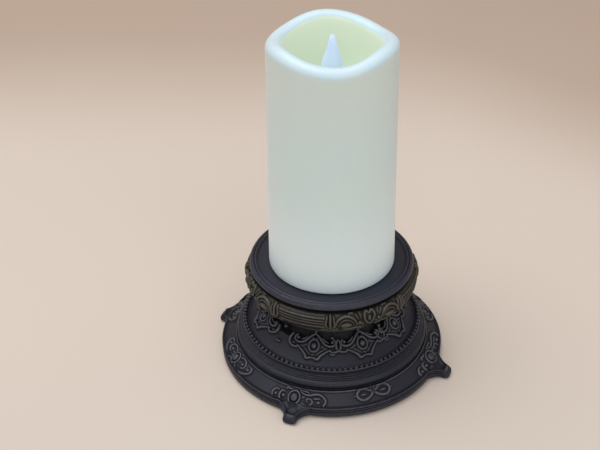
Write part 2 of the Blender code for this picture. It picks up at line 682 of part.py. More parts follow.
def housing_cutters():
    centre = (BAY.x, BAY.y)
    cap_radius = CAP_RADIUS + GAP
    ledge_radius = CAP_HUB_RADIUS + GAP
    under = HOUSING_BOTTOM - 0.001
    bay = [
        (0, under),
        (cap_radius, under),
        (cap_radius, LEDGE_BOTTOM),
        (ledge_radius, LEDGE_BOTTOM),
        (ledge_radius, TAB_BOTTOM - GAP),
        (cap_radius, TAB_BOTTOM - GAP),
        (cap_radius, BAY_FLOOR),
        (0, BAY_FLOOR),
    ]
    shapes = {"cap_bay": turned("cap_bay", bay, CAP_ROUND, centre)}
    for number, side in enumerate((0, math.pi), 1):
        name = f"tab_notch_{number}"
        shapes[name] = sector(name, CAP_RADIUS, NOTCH_HALF_ANGLE, side + NOTCH_TURN, under, TAB_BOTTOM)
    roofs = (POSITIVE_ROOF, NEGATIVE_ROOF)
    for letter, place, roof in zip("ab", cell_places(), roofs):
        name = f"bore_{letter}"
        bore = disc(BORE_RADIUS, BAY_FLOOR - 0.001, roof)
        shapes[name] = turned(name, bore, CELL_ROUND, (place.x, place.y))
        slot = Vector((0.0016, 0.0010, 0))
        name = f"tab_slot_{letter}"
        low, high = place - slot, place + slot
        low.z, high.z = roof - 0.001, TOWER_TOP + 0.001
        shapes[name] = block(name, low, high)
    for number, place in enumerate(base_screw_places(), 1):
        hole = SCREW_RADIUS + GAP
        head = SCREW_HEAD_RADIUS + GAP
        seat = HOUSING_BOTTOM + SCREW_HEAD_HEIGHT + 0.0004 + GAP
        outline = [(0, under), (head, under), (head, seat), (hole, seat)]
        outline += [(hole, HOUSING_TOP + 0.001), (0, HOUSING_TOP + 0.001)]
        name = f"screw_hole_{number}"
        shapes[name] = turned(name, outline, 12, (place.x, place.y))
    recess = Vector((KNOB_LENGTH / 2 + KNOB_TRAVEL + 0.0025, KNOB_WIDTH / 2 + 0.0016, 0))
    low, high = SWITCH_PLACE - recess, SWITCH_PLACE + recess
    low.z, high.z = under, HOUSING_BOTTOM + 0.0022
    shapes["knob_recess"] = block("knob_recess", low, high)
    slot = Vector((KNOB_LENGTH / 2 + KNOB_TRAVEL + GAP, KNOB_WIDTH / 2 + GAP, 0))
    low, high = SWITCH_PLACE - slot, SWITCH_PLACE + slot
    low.z, high.z = HOUSING_BOTTOM + 0.001, HOUSING_TOP + 0.001
    shapes["knob_slot"] = block("knob_slot", low, high)
    return [cutter(name, mesh) for name, mesh in shapes.items()]


def battery_housing(look):
    flange = disc(HOUSING_RADIUS, HOUSING_BOTTOM, HOUSING_TOP)
    made = placed("battery_housing", turned("battery_housing", flange), look)
    tower = [
        (0, HOUSING_TOP - 0.0010),
        (TOWER_FOOT_RADIUS, HOUSING_TOP - 0.0010),
        (TOWER_FOOT_RADIUS, TOWER_FOOT_TOP),
        (TOWER_RADIUS, TOWER_FOOT_TOP + 0.0015),
        (TOWER_RADIUS, TOWER_TOP),
        (0, TOWER_TOP),
    ]
    mesh = turned("housing_tower", tower, CAP_ROUND, (BAY.x, BAY.y))
    combine(made, [cutter("housing_tower", mesh)], "UNION")
    combine(made, housing_cutters(), "DIFFERENCE")


def cell(name, place, nub_up, look):
    nub, rounding = 0.0012, 0.0006
    wide = CELL_RADIUS
    outline = [(0, 0), (wide - rounding, 0), (wide, rounding)]
    outline += [(wide, CELL_LENGTH - nub - rounding), (wide - rounding, CELL_LENGTH - nub)]
    outline += [(0.0028, CELL_LENGTH - nub), (0.0026, CELL_LENGTH), (0, CELL_LENGTH)]
    if not nub_up:
        outline = [(radius, CELL_LENGTH - z) for radius, z in outline]
    outline = [(radius, CELL_BOTTOM + z) for radius, z in outline]
    placed(name, turned(name, outline, CELL_ROUND, (place.x, place.y)), look)


def roof_contact(name, place, bottom, look):
    """A round contact under the roof of a bore, with a tab that stands through the roof."""
    top = bottom + CONTACT_THICKNESS
    plate = turned(name, disc(SPRING_RADIUS + 0.0010, bottom, top), SMALL_ROUND, (place.x, place.y))
    made = placed(name, plate, look)
    half = Vector((0.0012, 0.0003, 0))
    low, high = place - half, place + half
    low.z, high.z = top - 0.0002, TOWER_TOP + 0.0012
    combine(made, [cutter(f"{name}_tab", block(f"{name}_tab", low, high))], "UNION")


def contact_spring(place, look):
    turns, steps = 3.5, 8
    low = CELL_TOP + GAP + WIRE_RADIUS
    rise = SPRING_HEIGHT - 2 * WIRE_RADIUS
    route = []
    for step in range(int(turns * steps) + 1):
        share = step / (turns * steps)
        radius = SPRING_RADIUS * (0.62 + 0.38 * share)
        route.append(place + polar(radius, 2 * math.pi * turns * share, low + rise * share))
    return wire("contact_spring", route, WIRE_RADIUS, look, sides=1, per_span=1)


def battery_cap(look):
    centre = (BAY.x, BAY.y)
    hub_top = TAB_TOP
    outline = [
        (0, CAP_BOTTOM),
        (CAP_RADIUS - 0.0005, CAP_BOTTOM),
        (CAP_RADIUS, CAP_BOTTOM + 0.0005),
        (CAP_RADIUS, CAP_BOTTOM + CAP_THICKNESS),
        (CAP_HUB_RADIUS, CAP_BOTTOM + CAP_THICKNESS),
        (CAP_HUB_RADIUS, hub_top),
        (0, hub_top),
    ]
    made = placed("battery_cap", turned("battery_cap", outline, CAP_ROUND, centre), look, BAY)
    tabs = []
    for number, side in enumerate((0, math.pi), 1):
        name = f"cap_tab_{number}"
        low = TAB_BOTTOM
        tabs.append(cutter(name, sector(name, CAP_RADIUS - GAP, TAB_HALF_ANGLE, side, low, hub_top)))
    combine(made, tabs, "UNION")
    pockets = []
    for number, side in enumerate((-1, 1), 1):
        name = f"grip_pocket_{number}"
        corners = []
        for step in range(13):
            angle = math.radians(14 + 152 * step / 12)
            corner = BAY + polar(0.0130, side * angle)
            corners.append((corner.x, corner.y))
        pockets.append(cutter(name, prism(name, corners, CAP_BOTTOM - 0.001, CAP_BOTTOM + 0.0022)))
    combine(made, pockets, "DIFFERENCE")


def cap_contact(look):
    half = Vector((CELL_PITCH / 2 + 0.0040, 0.0040, 0))
    low, high = BAY - half, BAY + half
    low.z, high.z = STRIP_BOTTOM, STRIP_BOTTOM + CONTACT_THICKNESS
    placed("cap_contact", block("cap_contact", low, high), look, BAY)


# Switch


def switch_body(look):
    low = SWITCH_PLACE - SWITCH_SIZE / 2
    high = SWITCH_PLACE + SWITCH_SIZE / 2
    low.z, high.z = HOUSING_TOP + GAP, HOUSING_TOP + GAP + SWITCH_SIZE.z
    made = placed("switch_body", block("switch_body", low, high), look)
    wall = Vector((SWITCH_WALL, SWITCH_WALL, 0))
    low, high = low + wall, high - wall
    low.z, high.z = HOUSING_TOP, high.z - SWITCH_WALL
    combine(made, [cutter("switch_room", block("switch_room", low, high))], "DIFFERENCE")


def switch_knob(look):
    stem = Vector((KNOB_LENGTH / 2, KNOB_WIDTH / 2, 0))
    low, high = SWITCH_PLACE - stem, SWITCH_PLACE + stem
    low.z, high.z = HOUSING_BOTTOM + 0.0005, HOUSING_TOP + 0.0015
    made = placed("switch_knob", block("switch_knob", low, high), look, SWITCH_PLACE)
    shoe = Vector((KNOB_LENGTH / 2 + 0.0007, KNOB_WIDTH / 2 + 0.0007, 0))
    low, high = SWITCH_PLACE - shoe, SWITCH_PLACE + shoe
    low.z, high.z = HOUSING_TOP + GAP, HOUSING_TOP + 0.0030
    combine(made, [cutter("knob_shoe", block("knob_shoe", low, high))], "UNION")


def leads(red, black, white):
    start_a, start_b = cell_places()
    tab = TOWER_TOP + 0.0012 + GAP + LEAD_RADIUS
    board = BOARD_BOTTOM - GAP
    over = TOWER_TOP + 0.0050
    front = BAY.y - TOWER_RADIUS - 0.0026
    solder = HOUSING_TOP + GAP + SWITCH_SIZE.z + GAP
    switch_y = SWITCH_PLACE.y
    wire(
        "red_lead",
        [
            (start_a.x, start_a.y, tab),
            (start_a.x - 0.0010, start_a.y + 0.0010, over),
            (start_a.x + 0.0010, start_a.y + 0.0020, (over + board) / 2),
            (-0.0060, 0.0060, board - 0.0050),
            (-0.0055, 0.0050, board),
        ],
        LEAD_RADIUS,
        red,
        per_span=3,
    )
    wire(
        "black_lead",
        [
            (start_b.x, start_b.y, tab),
            (start_b.x - 0.0005, start_b.y - 0.0030, over - 0.0006),
            (start_b.x - 0.0025, front + 0.0020, over - 0.0010),
            (start_b.x - 0.0040, front, TOWER_TOP - 0.0040),
            (0.0036, front, (TOWER_TOP + solder) / 2),
            (0.0034, front - 0.0006, solder + 0.0120),
            (0.0030, switch_y, solder + 0.0030),
            (0.0030, switch_y, solder),
        ],
        LEAD_RADIUS,
        black,
        per_span=3,
    )
    wire(
        "switch_lead",
        [
            (-0.0030, switch_y, solder),
            (-0.0030, switch_y, solder + 0.0030),
            (-0.0034, front - 0.0006, solder + 0.0120),
            (-0.0036, front, (TOWER_TOP + solder) / 2),
            (-0.0034, front, TOWER_TOP),
            (-0.0020, front + 0.0030, board - 0.0080),
            (0.0, -0.0090, board - 0.0030),
            (0.0, -0.0090, board),
        ],
        LEAD_RADIUS,
        white,
        per_span=3,
    )


def build():
    for old in list(bpy.data.objects):
        bpy.data.objects.remove(old, do_unlink=True)
    pewter = material("dark_patina", (0.030, 0.030, 0.040), 0.42, 0.55)
    bronze = material("bronze_patina", (0.060, 0.052, 0.042), 0.48, 0.5)
    ivory = material("ivory_wax", (0.80, 0.80, 0.72), 0.42)
    frosted = material("frosted_flame", (0.86, 0.88, 0.86), 0.35)
    shell_plastic = material("ivory_plastic", (0.72, 0.70, 0.62), 0.45)
    steel = material("zinc_steel", (0.62, 0.63, 0.64), 0.3, 1.0)
    nickel = material("nickel_contact", (0.70, 0.68, 0.62), 0.25, 1.0)
    felt = material("felt", (0.05, 0.05, 0.05), 0.95)

    pedestal_base(pewter)
    foot_pads(felt)
    leaf_collar(bronze)
    candle_plate(pewter)
    tie_bolt(steel)
    tie_washer(steel)

    candle_shell(ivory)
    flame_lens(frosted)
    led(material("led_epoxy", (0.90, 0.80, 0.45), 0.15))
    control_board(material("green_board", (0.03, 0.20, 0.08), 0.5))
    board_parts(
        material("chip_epoxy", (0.02, 0.02, 0.02), 0.5),
        material("crystal_can", (0.75, 0.75, 0.75), 0.25, 1.0),
        material("resistor_body", (0.66, 0.52, 0.34), 0.5),
    )
    screws(steel)
    battery_housing(shell_plastic)
    cell_look = material("cell_sleeve", (0.10, 0.12, 0.16), 0.35, 0.3)
    cell("cell_a", cell_places()[0], True, cell_look)
    cell("cell_b", cell_places()[1], False, cell_look)
    roof_contact("positive_contact", cell_places()[0], POSITIVE_BOTTOM, nickel)
    roof_contact("negative_contact", cell_places()[1], NEGATIVE_BOTTOM, nickel)
    contact_spring(cell_places()[1], nickel)
    battery_cap(shell_plastic)
    cap_contact(nickel)
    switch_body(material("switch_can", (0.55, 0.56, 0.57), 0.35, 1.0))
    switch_knob(material("black_plastic", (0.02, 0.02, 0.02), 0.4))
    leads(
        material("red_insulation", (0.55, 0.02, 0.02), 0.4),
        material("black_insulation", (0.02, 0.02, 0.02), 0.4),
        material("white_insulation", (0.75, 0.75, 0.72), 0.4),
    )


build()
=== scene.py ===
"""Flameless LED pillar candle on a cast four-footed pedestal: the looks of its pieces."""
import math

import bpy
import numpy as np
from mathutils import Matrix, Vector


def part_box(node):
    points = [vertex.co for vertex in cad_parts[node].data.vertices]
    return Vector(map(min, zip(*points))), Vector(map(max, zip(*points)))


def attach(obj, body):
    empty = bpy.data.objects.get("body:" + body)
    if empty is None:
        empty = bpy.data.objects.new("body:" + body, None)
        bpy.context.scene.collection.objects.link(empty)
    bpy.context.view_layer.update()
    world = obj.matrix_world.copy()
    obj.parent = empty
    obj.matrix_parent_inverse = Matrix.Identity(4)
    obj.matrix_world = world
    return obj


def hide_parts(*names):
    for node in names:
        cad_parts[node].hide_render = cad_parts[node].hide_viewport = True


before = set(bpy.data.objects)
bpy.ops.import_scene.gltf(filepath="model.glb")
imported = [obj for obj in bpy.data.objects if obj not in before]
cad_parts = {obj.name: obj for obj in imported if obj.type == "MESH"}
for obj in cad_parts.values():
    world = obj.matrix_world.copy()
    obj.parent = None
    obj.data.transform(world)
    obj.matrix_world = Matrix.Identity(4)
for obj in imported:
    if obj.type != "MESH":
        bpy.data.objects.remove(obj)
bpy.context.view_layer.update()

# Felt pads.
# A disc of black needled felt under each foot, die-cut and glued on, so that the cast metal
# doesn't scratch a table.


def add_node(tree, kind, put=(), **settings):
    """A shader node with its settings, and with values or links on its inputs."""
    made = tree.nodes.new("ShaderNode" + kind)
    for key, value in settings.items():
        setattr(made, key, value)
    for key, value in dict(put).items():
        if isinstance(value, bpy.types.NodeSocket):
            tree.links.new(value, made.inputs[key])
        else:
            made.inputs[key].default_value = value
    return made


def sums(tree, operation, first, second=0.5):
    return add_node(tree, "Math", {0: first, 1: second}, operation=operation).outputs[0]


def ramp(tree, value, low, high, bottom=0.0, top=1.0):
    put = {"Value": value, "From Min": low, "From Max": high, "To Min": bottom, "To Max": top}
    return add_node(tree, "MapRange", put, interpolation_type="SMOOTHSTEP").outputs[0]


def blended(tree, share, first, second):
    first, second = ((*c, 1.0) if isinstance(c, tuple) and len(c) == 3 else c for c in (first, second))
    return add_node(tree, "Mix", {0: share, 6: first, 7: second}, data_type="RGBA").outputs[2]


def new_group(name, takes, gives):
    tree = bpy.data.node_groups.new(name, "ShaderNodeTree")
    for label, value in takes.items():
        socket = tree.interface.new_socket(label, in_out="INPUT", socket_type="NodeSocketFloat")
        socket.default_value = value
    for label in gives:
        tree.interface.new_socket(label, in_out="OUTPUT", socket_type="NodeSocketFloat")
    return tree, tree.nodes.new("NodeGroupInput").outputs, tree.nodes.new("NodeGroupOutput").inputs


def place_group(tree, group, **put):
    made = add_node(tree, "Group", node_tree=group)
    for label, value in put.items():
        socket = made.inputs[label.replace("_", " ")]
        if isinstance(value, bpy.types.NodeSocket):
            tree.links.new(value, socket)
        else:
            socket.default_value = value
    return made.outputs


def surface_grain():
    """Fine grain at a number of grains to the metre, and slow clouds twenty times larger."""
    tree, takes, gives = new_group(
        "surface grain", {"Grains": 1500.0, "Cloudiness": 0.05}, ("Grain", "Clouds", "Specks")
    )
    place = add_node(tree, "TexCoord").outputs["Object"]
    put = {"Vector": place, "Scale": takes["Grains"], "Detail": 4.0, "Roughness": 0.65}
    fine = add_node(tree, "TexNoise", put).outputs["Fac"]
    slow = sums(tree, "MULTIPLY", takes["Grains"], takes["Cloudiness"])
    put = {"Vector": place, "Scale": slow, "Detail": 3.0, "Roughness": 0.55}
    cloud = add_node(tree, "TexNoise", put).outputs["Fac"]
    put = {"Vector": place, "Scale": takes["Grains"]}
    speck = add_node(tree, "TexVoronoi", put).outputs["Distance"]
    tree.links.new(fine, gives["Grain"])
    tree.links.new(ramp(tree, cloud, 0.3, 0.7), gives["Clouds"])
    tree.links.new(ramp(tree, speck, 0.05, 0.25, 1.0, 0.0), gives["Specks"])
    return tree


GRAIN = surface_grain()


def new_look(name, roughness, metallic=0.0, **plain):
    """A material, its tree and its shader, with plain values on the shader's own sockets."""
    look = bpy.data.materials.new(name)
    look.use_nodes = True
    tree = look.node_tree
    shader = tree.nodes["Principled BSDF"]
    shader.inputs["Roughness"].default_value = roughness
    shader.inputs["Metallic"].default_value = metallic
    for label, value in plain.items():
        shader.inputs[label.replace("_", " ")].default_value = value
    return look, tree, shader.inputs


def bumped(tree, shader, height, depth):
    bump = add_node(tree, "Bump", {"Height": height, "Distance": depth, "Strength": 1.0})
    tree.links.new(bump.outputs[0], shader["Normal"])


def grained_look(name, dark, light, roughness, grains, depth, metallic=0.0, spread=0.12, **plain):
    """A plain finish: two close colours mottled together, a grain that can be felt, uneven gloss."""
    look, tree, shader = new_look(name, roughness, metallic, **plain)
    grain = place_group(tree, GRAIN, Grains=grains)
    share = sums(tree, "ADD", sums(tree, "MULTIPLY", grain["Grain"], 0.5), sums(tree, "MULTIPLY", grain["Clouds"]))
    tree.links.new(blended(tree, share, dark, light), shader["Base Color"])
    rough = ramp(tree, grain["Grain"], 0.3, 0.7, roughness - spread / 2, roughness + spread / 2)
    tree.links.new(rough, shader["Roughness"])
    bumped(tree, shader, grain["Grain"], depth)
    return look


def finish_nodes(look, *names):
    """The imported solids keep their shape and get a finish."""
    for name in names:
        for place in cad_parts[name].material_slots:
            place.material = look


FELT_FIBRES = 2600.0
felt = grained_look(
    "black felt", (0.008, 0.008, 0.009), (0.035, 0.034, 0.036), 0.95, FELT_FIBRES, 0.0004,
    Sheen_Weight=0.4, Sheen_Roughness=0.5,
)
finish_nodes(felt, *(f"foot_pad_{number}" for number in range(1, 5)))

# Pedestal casting, lower ring and feet.
# One hollow casting in zinc or aluminium alloy, sprayed black and dry-brushed with grey so that
# the raised work shows. A stepped flange runs out into four tongue feet, under a sunk band of
# scrolls with a jewel over each foot.

MM = 0.001
FOOT_AZIMUTH = math.radians(-112.0)
FLANGE_RADIUS = 69.0
FLANGE_TOP = 7.5
FLANGE_UNDER = 1.3
FEET = ((-110.5, 78.6), (-25.2, 79.4), (70.0, 78.7), (159.3, 76.0))  # azimuth and tip of each
FOOT_HALF_WIDTH = 4.4
FOOT_ROOT_HALF_WIDTH = 10.6
FOOT_EDGE_DROP = 2.4
BAND_OUTER = (67.6, 7.6)
BAND_INNER = (59.9, 12.8)
RING_STEPS = 1200


def curve_through(points, per_span=8):
    """Points along a smooth curve through the given ones."""
    points = np.array(points, float)
    before, after = 2 * points[0] - points[1], 2 * points[-1] - points[-2]
    p = np.vstack([before, points, after])
    t = np.linspace(0, 1, per_span, endpoint=False)[:, None]
    spans = [
        0.5 * (2 * b + (c - a) * t + (2 * a - 5 * b + 4 * c - d) * t**2 + (3 * b - a - 3 * c + d) * t**3)
        for a, b, c, d in zip(p, p[1:], p[2:], p[3:])
    ]
    return np.vstack([*spans, points[-1:]])


def rib(points, half_width, height, tail=0.45):
    """A half-round raised line, thinner at its ends."""
    path = curve_through(points)
    share = np.linspace(0, 1, len(path))
    width = half_width * (tail + (1 - tail) * np.sin(math.pi * share) ** 0.5)

    def rise(u, v):
        gap = np.hypot(u[:, None] - path[:, 0], v[:, None] - path[:, 1]) / width
        near = gap.argmin(axis=1)
        gap = gap[np.arange(len(u)), near]
        return height * (0.55 + 0.45 * width[near] / half_width) * np.sqrt(np.clip(1 - gap**2, 0, 1))

    return rise


def boss(place, radii, height, power=0.5):
    """A domed oval."""

    def rise(u, v):
        gap = np.hypot((u - place[0]) / radii[0], (v - place[1]) / radii[1])
        return height * np.clip(1 - gap**2, 0, 1) ** power

    return rise


def collet(place, radii, half_width, height):
    """A raised ring round an oval."""

    def rise(u, v):
        gap = (np.hypot((u - place[0]) / radii[0], (v - place[1]) / radii[1]) - 1) * min(radii)
        return height * np.sqrt(np.clip(1 - (gap / half_width) ** 2, 0, 1))

    return rise


def both_sides(maker, points, *sizes):
    """The same work left and right of the middle."""
    points = np.array(points, float)
    return [maker(points, *sizes), maker(points * (-1, 1), *sizes)]


def raise_relief(azimuth, along, places, work, per_degree, reach):
    """Height in mm of the same work repeated at each (azimuth, distance along the profile)."""
    along = np.broadcast_to(along.reshape(len(along), -1), (len(along), len(azimuth)))
    height = np.zeros(along.shape)
    for middle, level in places:
        turn = (np.degrees(azimuth) - middle + 180) % 360 - 180
        columns = np.nonzero(np.abs(turn) * per_degree < reach)[0]
        v = (along[:, columns] - level).ravel()
        u = np.tile(turn[columns] * per_degree, len(along))
        raised = np.zeros(len(u))
        for rise in work:
            raised = np.maximum(raised, rise(u, v))
        block = raised.reshape(len(along), len(columns))
        height[:, columns] = np.maximum(height[:, columns], block)
    return height


def softened(grid, reach):
    """Each point's mean with its neighbours, round the ring and along it."""
    total = sum(np.roll(grid, step, axis=1) for step in range(-reach, reach + 1)) / (2 * reach + 1)
    padded = np.concatenate([total[:1]] * reach + [total] + [total[-1:]] * reach)
    return sum(padded[step : step + len(grid)] for step in range(2 * reach + 1)) / (2 * reach + 1)


def ring_mesh(name, outside, inside=(), rub=1.0, painted_shade=0.0):
    """A closed ring from rows of outer points, in mm, and plain inner (radius, z) points.
    The attribute lift tells the finish how far each point stands out from those round it, times
    the share of that the brush reached, less the depth of painted shade, which the finish darkens."""
    columns = outside.shape[1]
    turn = np.arctan2(outside[-1, :, 1], outside[-1, :, 0])
    rows = [outside]
    for radius, z in inside:
        rows.append(np.stack([radius * np.cos(turn), radius * np.sin(turn), np.full(columns, z)], -1)[None])
    across = np.roll(outside, -1, 1) - np.roll(outside, 1, 1)
    up = np.gradient(outside, axis=0)
    normal = np.cross(across, up)
    normal /= np.linalg.norm(normal, axis=2, keepdims=True) + 1e-9
    lift = ((outside - softened(outside, 3)) * normal).sum(axis=2)
    # Painted shade: the given depth is taken off each point's lift, and the finish paints it darker.
    lift = lift * np.reshape(rub, (-1, 1)) - painted_shade
    lift = np.concatenate([lift.ravel(), np.zeros(columns * len(inside))])
    points = np.concatenate(rows)
    index = np.arange(points.shape[0] * columns).reshape(-1, columns)
    above = np.roll(index, -1, axis=0) if len(inside) else index[1:]
    index = index if len(inside) else index[:-1]
    quads = np.stack([index, np.roll(index, -1, 1), np.roll(above, -1, 1), above], -1)
    mesh = bpy.data.meshes.new(name)
    mesh.from_pydata((points.reshape(-1, 3) * MM).tolist(), [], quads.reshape(-1, 4).tolist())
    mesh.attributes.new("lift", "FLOAT", "POINT").data.foreach_set("value", lift.astype(np.float32))
    mesh.shade_smooth()
    mesh.set_sharp_from_angle(angle=math.radians(50))
    return mesh


def new_piece(name, mesh, look, body):
    made = bpy.data.objects.new(name, mesh)
    made.data.materials.append(look)
    bpy.context.scene.collection.objects.link(made)
    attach(made, body)
    return made


def raised_edges():
    """Where a brush dragged over the work leaves paint: high, outward-bent places, broken up."""
    tree, takes, gives = new_group("raised edges", {"From": 0.06, "To": 0.29, "Broken": 0.5}, ("Mask", "Hollow"))
    lift = add_node(tree, "Attribute", attribute_name="lift").outputs["Fac"]
    point = add_node(tree, "NewGeometry").outputs["Pointiness"]
    bend = sums(tree, "MULTIPLY", sums(tree, "SUBTRACT", point, 0.5), 0.8)
    high = sums(tree, "ADD", lift, bend)
    place = add_node(tree, "TexCoord").outputs["Object"]
    patch = add_node(tree, "TexNoise", {"Vector": place, "Scale": 420.0, "Detail": 4.0}).outputs["Fac"]
    patch = sums(tree, "MULTIPLY", sums(tree, "SUBTRACT", patch, 0.5), takes["Broken"])
    high = sums(tree, "ADD", high, sums(tree, "MULTIPLY", patch, 0.3))
    put = {"Value": high, "From Min": takes["From"], "From Max": takes["To"]}
    tree.links.new(add_node(tree, "MapRange", put).outputs[0], gives["Mask"])
    tree.links.new(ramp(tree, lift, -0.12, 0.02, 1.0, 0.0), gives["Hollow"])
    return tree


RAISED = raised_edges()


def brushed_casting(name, ground, brown, grey, roughness=0.42, metallic=0.35):
    """Painted casting: a dark ground with brown clouds, painted shade in the hollows, grey on the edges."""
    look, tree, shader = new_look(name, roughness, metallic, Specular_IOR_Level=0.4)
    grain = place_group(tree, GRAIN, Grains=1400.0, Cloudiness=0.04)
    edge = place_group(tree, RAISED)
    colour = blended(tree, grain["Clouds"], ground, brown)
    # Painted shade: the hollows are darkened towards near-black.
    colour = blended(tree, sums(tree, "MULTIPLY", edge["Hollow"], 0.6), colour, (0.006, 0.005, 0.005))
    rubbed = sums(tree, "MULTIPLY", edge["Mask"], 0.8)
    colour = blended(tree, rubbed, colour, grey)
    fleck = sums(tree, "MULTIPLY", grain["Specks"], 0.12)
    tree.links.new(blended(tree, fleck, colour, grey), shader["Base Color"])
    dull = ramp(tree, grain["Grain"], 0.3, 0.7, roughness - 0.08, roughness + 0.1)
    dull = sums(tree, "ADD", dull, sums(tree, "MULTIPLY", edge["Hollow"], 0.2))
    tree.links.new(dull, shader["Roughness"])
    bumped(tree, shader, grain["Grain"], 0.00022)
    return look


dark_patina = brushed_casting(
    "black patina", (0.0150, 0.0165, 0.0300), (0.0180, 0.0170, 0.0240), (0.104, 0.102, 0.112)
)


FOOT_TIP_ROUNDING = 2.0


def foot_plan(tip):
    """One foot's edge as (out, across) points: flared root, straight tongue, blunt round tip."""
    root, neck = FLANGE_RADIUS - 1.2, tip - FOOT_TIP_ROUNDING
    flare = FOOT_ROOT_HALF_WIDTH - FOOT_HALF_WIDTH
    side = [
        (root + (neck - root) * share, FOOT_HALF_WIDTH + flare * (1 - share) ** 2.6)
        for share in np.linspace(0, 1, 14)
    ]
    side += [
        (neck + FOOT_TIP_ROUNDING * math.sin(a), FOOT_HALF_WIDTH * math.cos(a) ** 0.5)
        for a in np.linspace(0.25, 1.57, 7)
    ]
    side = np.array(side)
    return np.concatenate([side * (1, -1), side[::-1]])


def flange_edge(azimuth):
    """Where each column meets the flange's edge, and how far along a foot it is, from 0 to 1."""
    edge = np.stack([np.cos(azimuth), np.sin(azimuth)], -1) * FLANGE_RADIUS
    out_share = np.zeros(len(azimuth))
    for middle, tip in FEET:
        angle = math.radians(middle)
        plan = foot_plan(tip)
        start = math.atan2(plan[-1][1], plan[-1][0])
        steps = np.concatenate([[0], np.cumsum(np.hypot(*np.diff(plan, axis=0).T))])
        turn = (azimuth - angle + math.pi) % (2 * math.pi) - math.pi
        inside = np.abs(turn) < start
        share = (turn[inside] / start + 1) / 2 * steps[-1]
        out = np.interp(share, steps, plan[:, 0])
        side = np.interp(share, steps, plan[:, 1])
        edge[inside] = np.stack(
            [out * math.cos(angle) - side * math.sin(angle), out * math.sin(angle) + side * math.cos(angle)], -1
        )
        out_share[inside] = np.clip((np.hypot(out, side) - FLANGE_RADIUS) / (tip - FLANGE_RADIUS), 0, 1)
    return edge, out_share


def drawn_in(edge, inset):
    """The plan curve moved inwards, square to itself."""
    along = np.roll(edge, -1, 0) - np.roll(edge, 1, 0)
    along /= np.linalg.norm(along, axis=1, keepdims=True)
    return edge - np.stack([along[:, 1], -along[:, 0]], -1) * np.reshape(inset, (-1, 1))


FLANGE_STEPS = (
    (0.9, 1.3), (0.35, 1.4), (0.2, 1.7), (0.2, 3.9), (0.3, 4.2), (0.95, 4.4), (0.95, 4.75), (0.3, 4.95),
    (0.05, 5.3), (0.3, 5.7), (0.9, 5.85), (0.85, 6.2), (0.25, 6.45), (0.0, 6.8), (0.0, 7.1), (0.3, 7.4),
    (0.7, 7.5), (1.0, 7.4), (1.25, 7.15),
)


def foot_jewel_work():
    """The jewel over a foot, in its ring, between a pair of curls and a longer leafy wing."""
    thick, thin = (0.95, 1.15), (0.75, 0.9)
    wing = [
        (2.8, 4.2), (6.0, 2.9), (9.0, 2.8), (12.2, 3.6), (15.0, 3.7), (18.0, 1.8), (19.0, -0.5),
        (17.2, -3.2), (15.4, -3.0),
    ]
    return [
        boss((0, 0), (2.4, 2.9), 2.1),
        collet((0, 0), (3.4, 4.0), 0.75, 1.15),
        rib([(-6.4, 1.8), (-8.5, 1.9), (-9.2, -1.2), (-7.6, -3.2), (-4.8, -3.7)], *thick),
        rib([(-10.2, 1.9), (-12.6, 1.8), (-14.0, -0.6), (-12.9, -3.0), (-10.4, -4.3), (-7.2, -4.6)], *thick),
        boss((-6.9, -0.5), (1.2, 1.2), 1.1),
        boss((-11.8, -1.0), (1.2, 1.2), 1.1),
        rib([(-6.3, 3.6), (-5.6, 4.8), (-3.6, 4.4), (-2.0, 4.9)], *thick),
        rib(wing, *thick),
        boss((14.7, -1.0), (1.3, 1.2), 1.1),
        rib([(4.6, -2.0), (7.0, -3.2), (9.6, -3.1), (11.2, -1.2), (9.9, 0.6), (7.6, 0.2), (8.3, -1.5)], *thin),
        rib([(2.2, 4.9), (7.2, 4.6), (8.8, 3.6)], *thin),
        rib([(4.4, 0.6), (6.4, 1.4)], *thin),
        rib([(11.6, 0.9), (13.6, 1.2), (15.8, 1.4)], *thin),
    ]


def knot_work():
    """Two loops that cross in the middle, each round a short bar."""
    loop = [
        (0, 0.6), (3.6, -1.9), (7.8, -2.9), (11.0, -1.0), (11.0, 1.6), (8.2, 3.4), (4.6, 3.1), (1.6, 1.6),
        (-1.4, 0.0),
    ]
    return [
        *both_sides(rib, loop, 1.15, 1.2, 0.85),
        *both_sides(boss, (6.9, 0.2), (2.1, 0.8), 0.9),
        *both_sides(rib, [(1.6, 3.8), (0.0, 1.8)], 0.6, 0.9),
        *both_sides(boss, (2.3, 4.1), (0.8, 0.8), 0.9),
        *both_sides(boss, (12.9, 0.2), (0.9, 0.7), 0.8),
    ]


def scroll_work():
    """A jewel in a ring between two pairs of curling leaves."""
    strong, fine = (0.95, 1.15), (0.6, 0.8)
    long_leaf = [
        (3.1, -2.8), (6.4, -4.0), (10.6, -3.6), (14.6, -2.4), (17.4, 0.3), (16.6, 2.9), (14.4, 2.6)
    ]
    return [
        boss((0, 0), (2.2, 2.6), 2.0),
        collet((0, 0), (3.2, 3.7), 0.7, 1.1),
        *both_sides(rib, [(3.6, 2.6), (6.2, 3.9), (9.4, 3.5), (11.4, 1.3), (10.4, -1.1), (8.3, -1.1)], *strong),
        *both_sides(boss, (8.4, 0.7), (1.2, 1.2), 1.1),
        *both_sides(rib, long_leaf, *strong),
        *both_sides(boss, (14.6, 0.7), (1.2, 1.2), 1.1),
        *both_sides(rib, [(4.6, 0.2), (6.4, 0.9)], *fine),
        *both_sides(rib, [(11.8, -0.9), (13.0, 0.6), (12.6, 3.2)], 0.55, 0.8),
        *both_sides(rib, [(1.0, 4.6), (3.2, 4.4), (4.6, 4.6)], *fine),
    ]


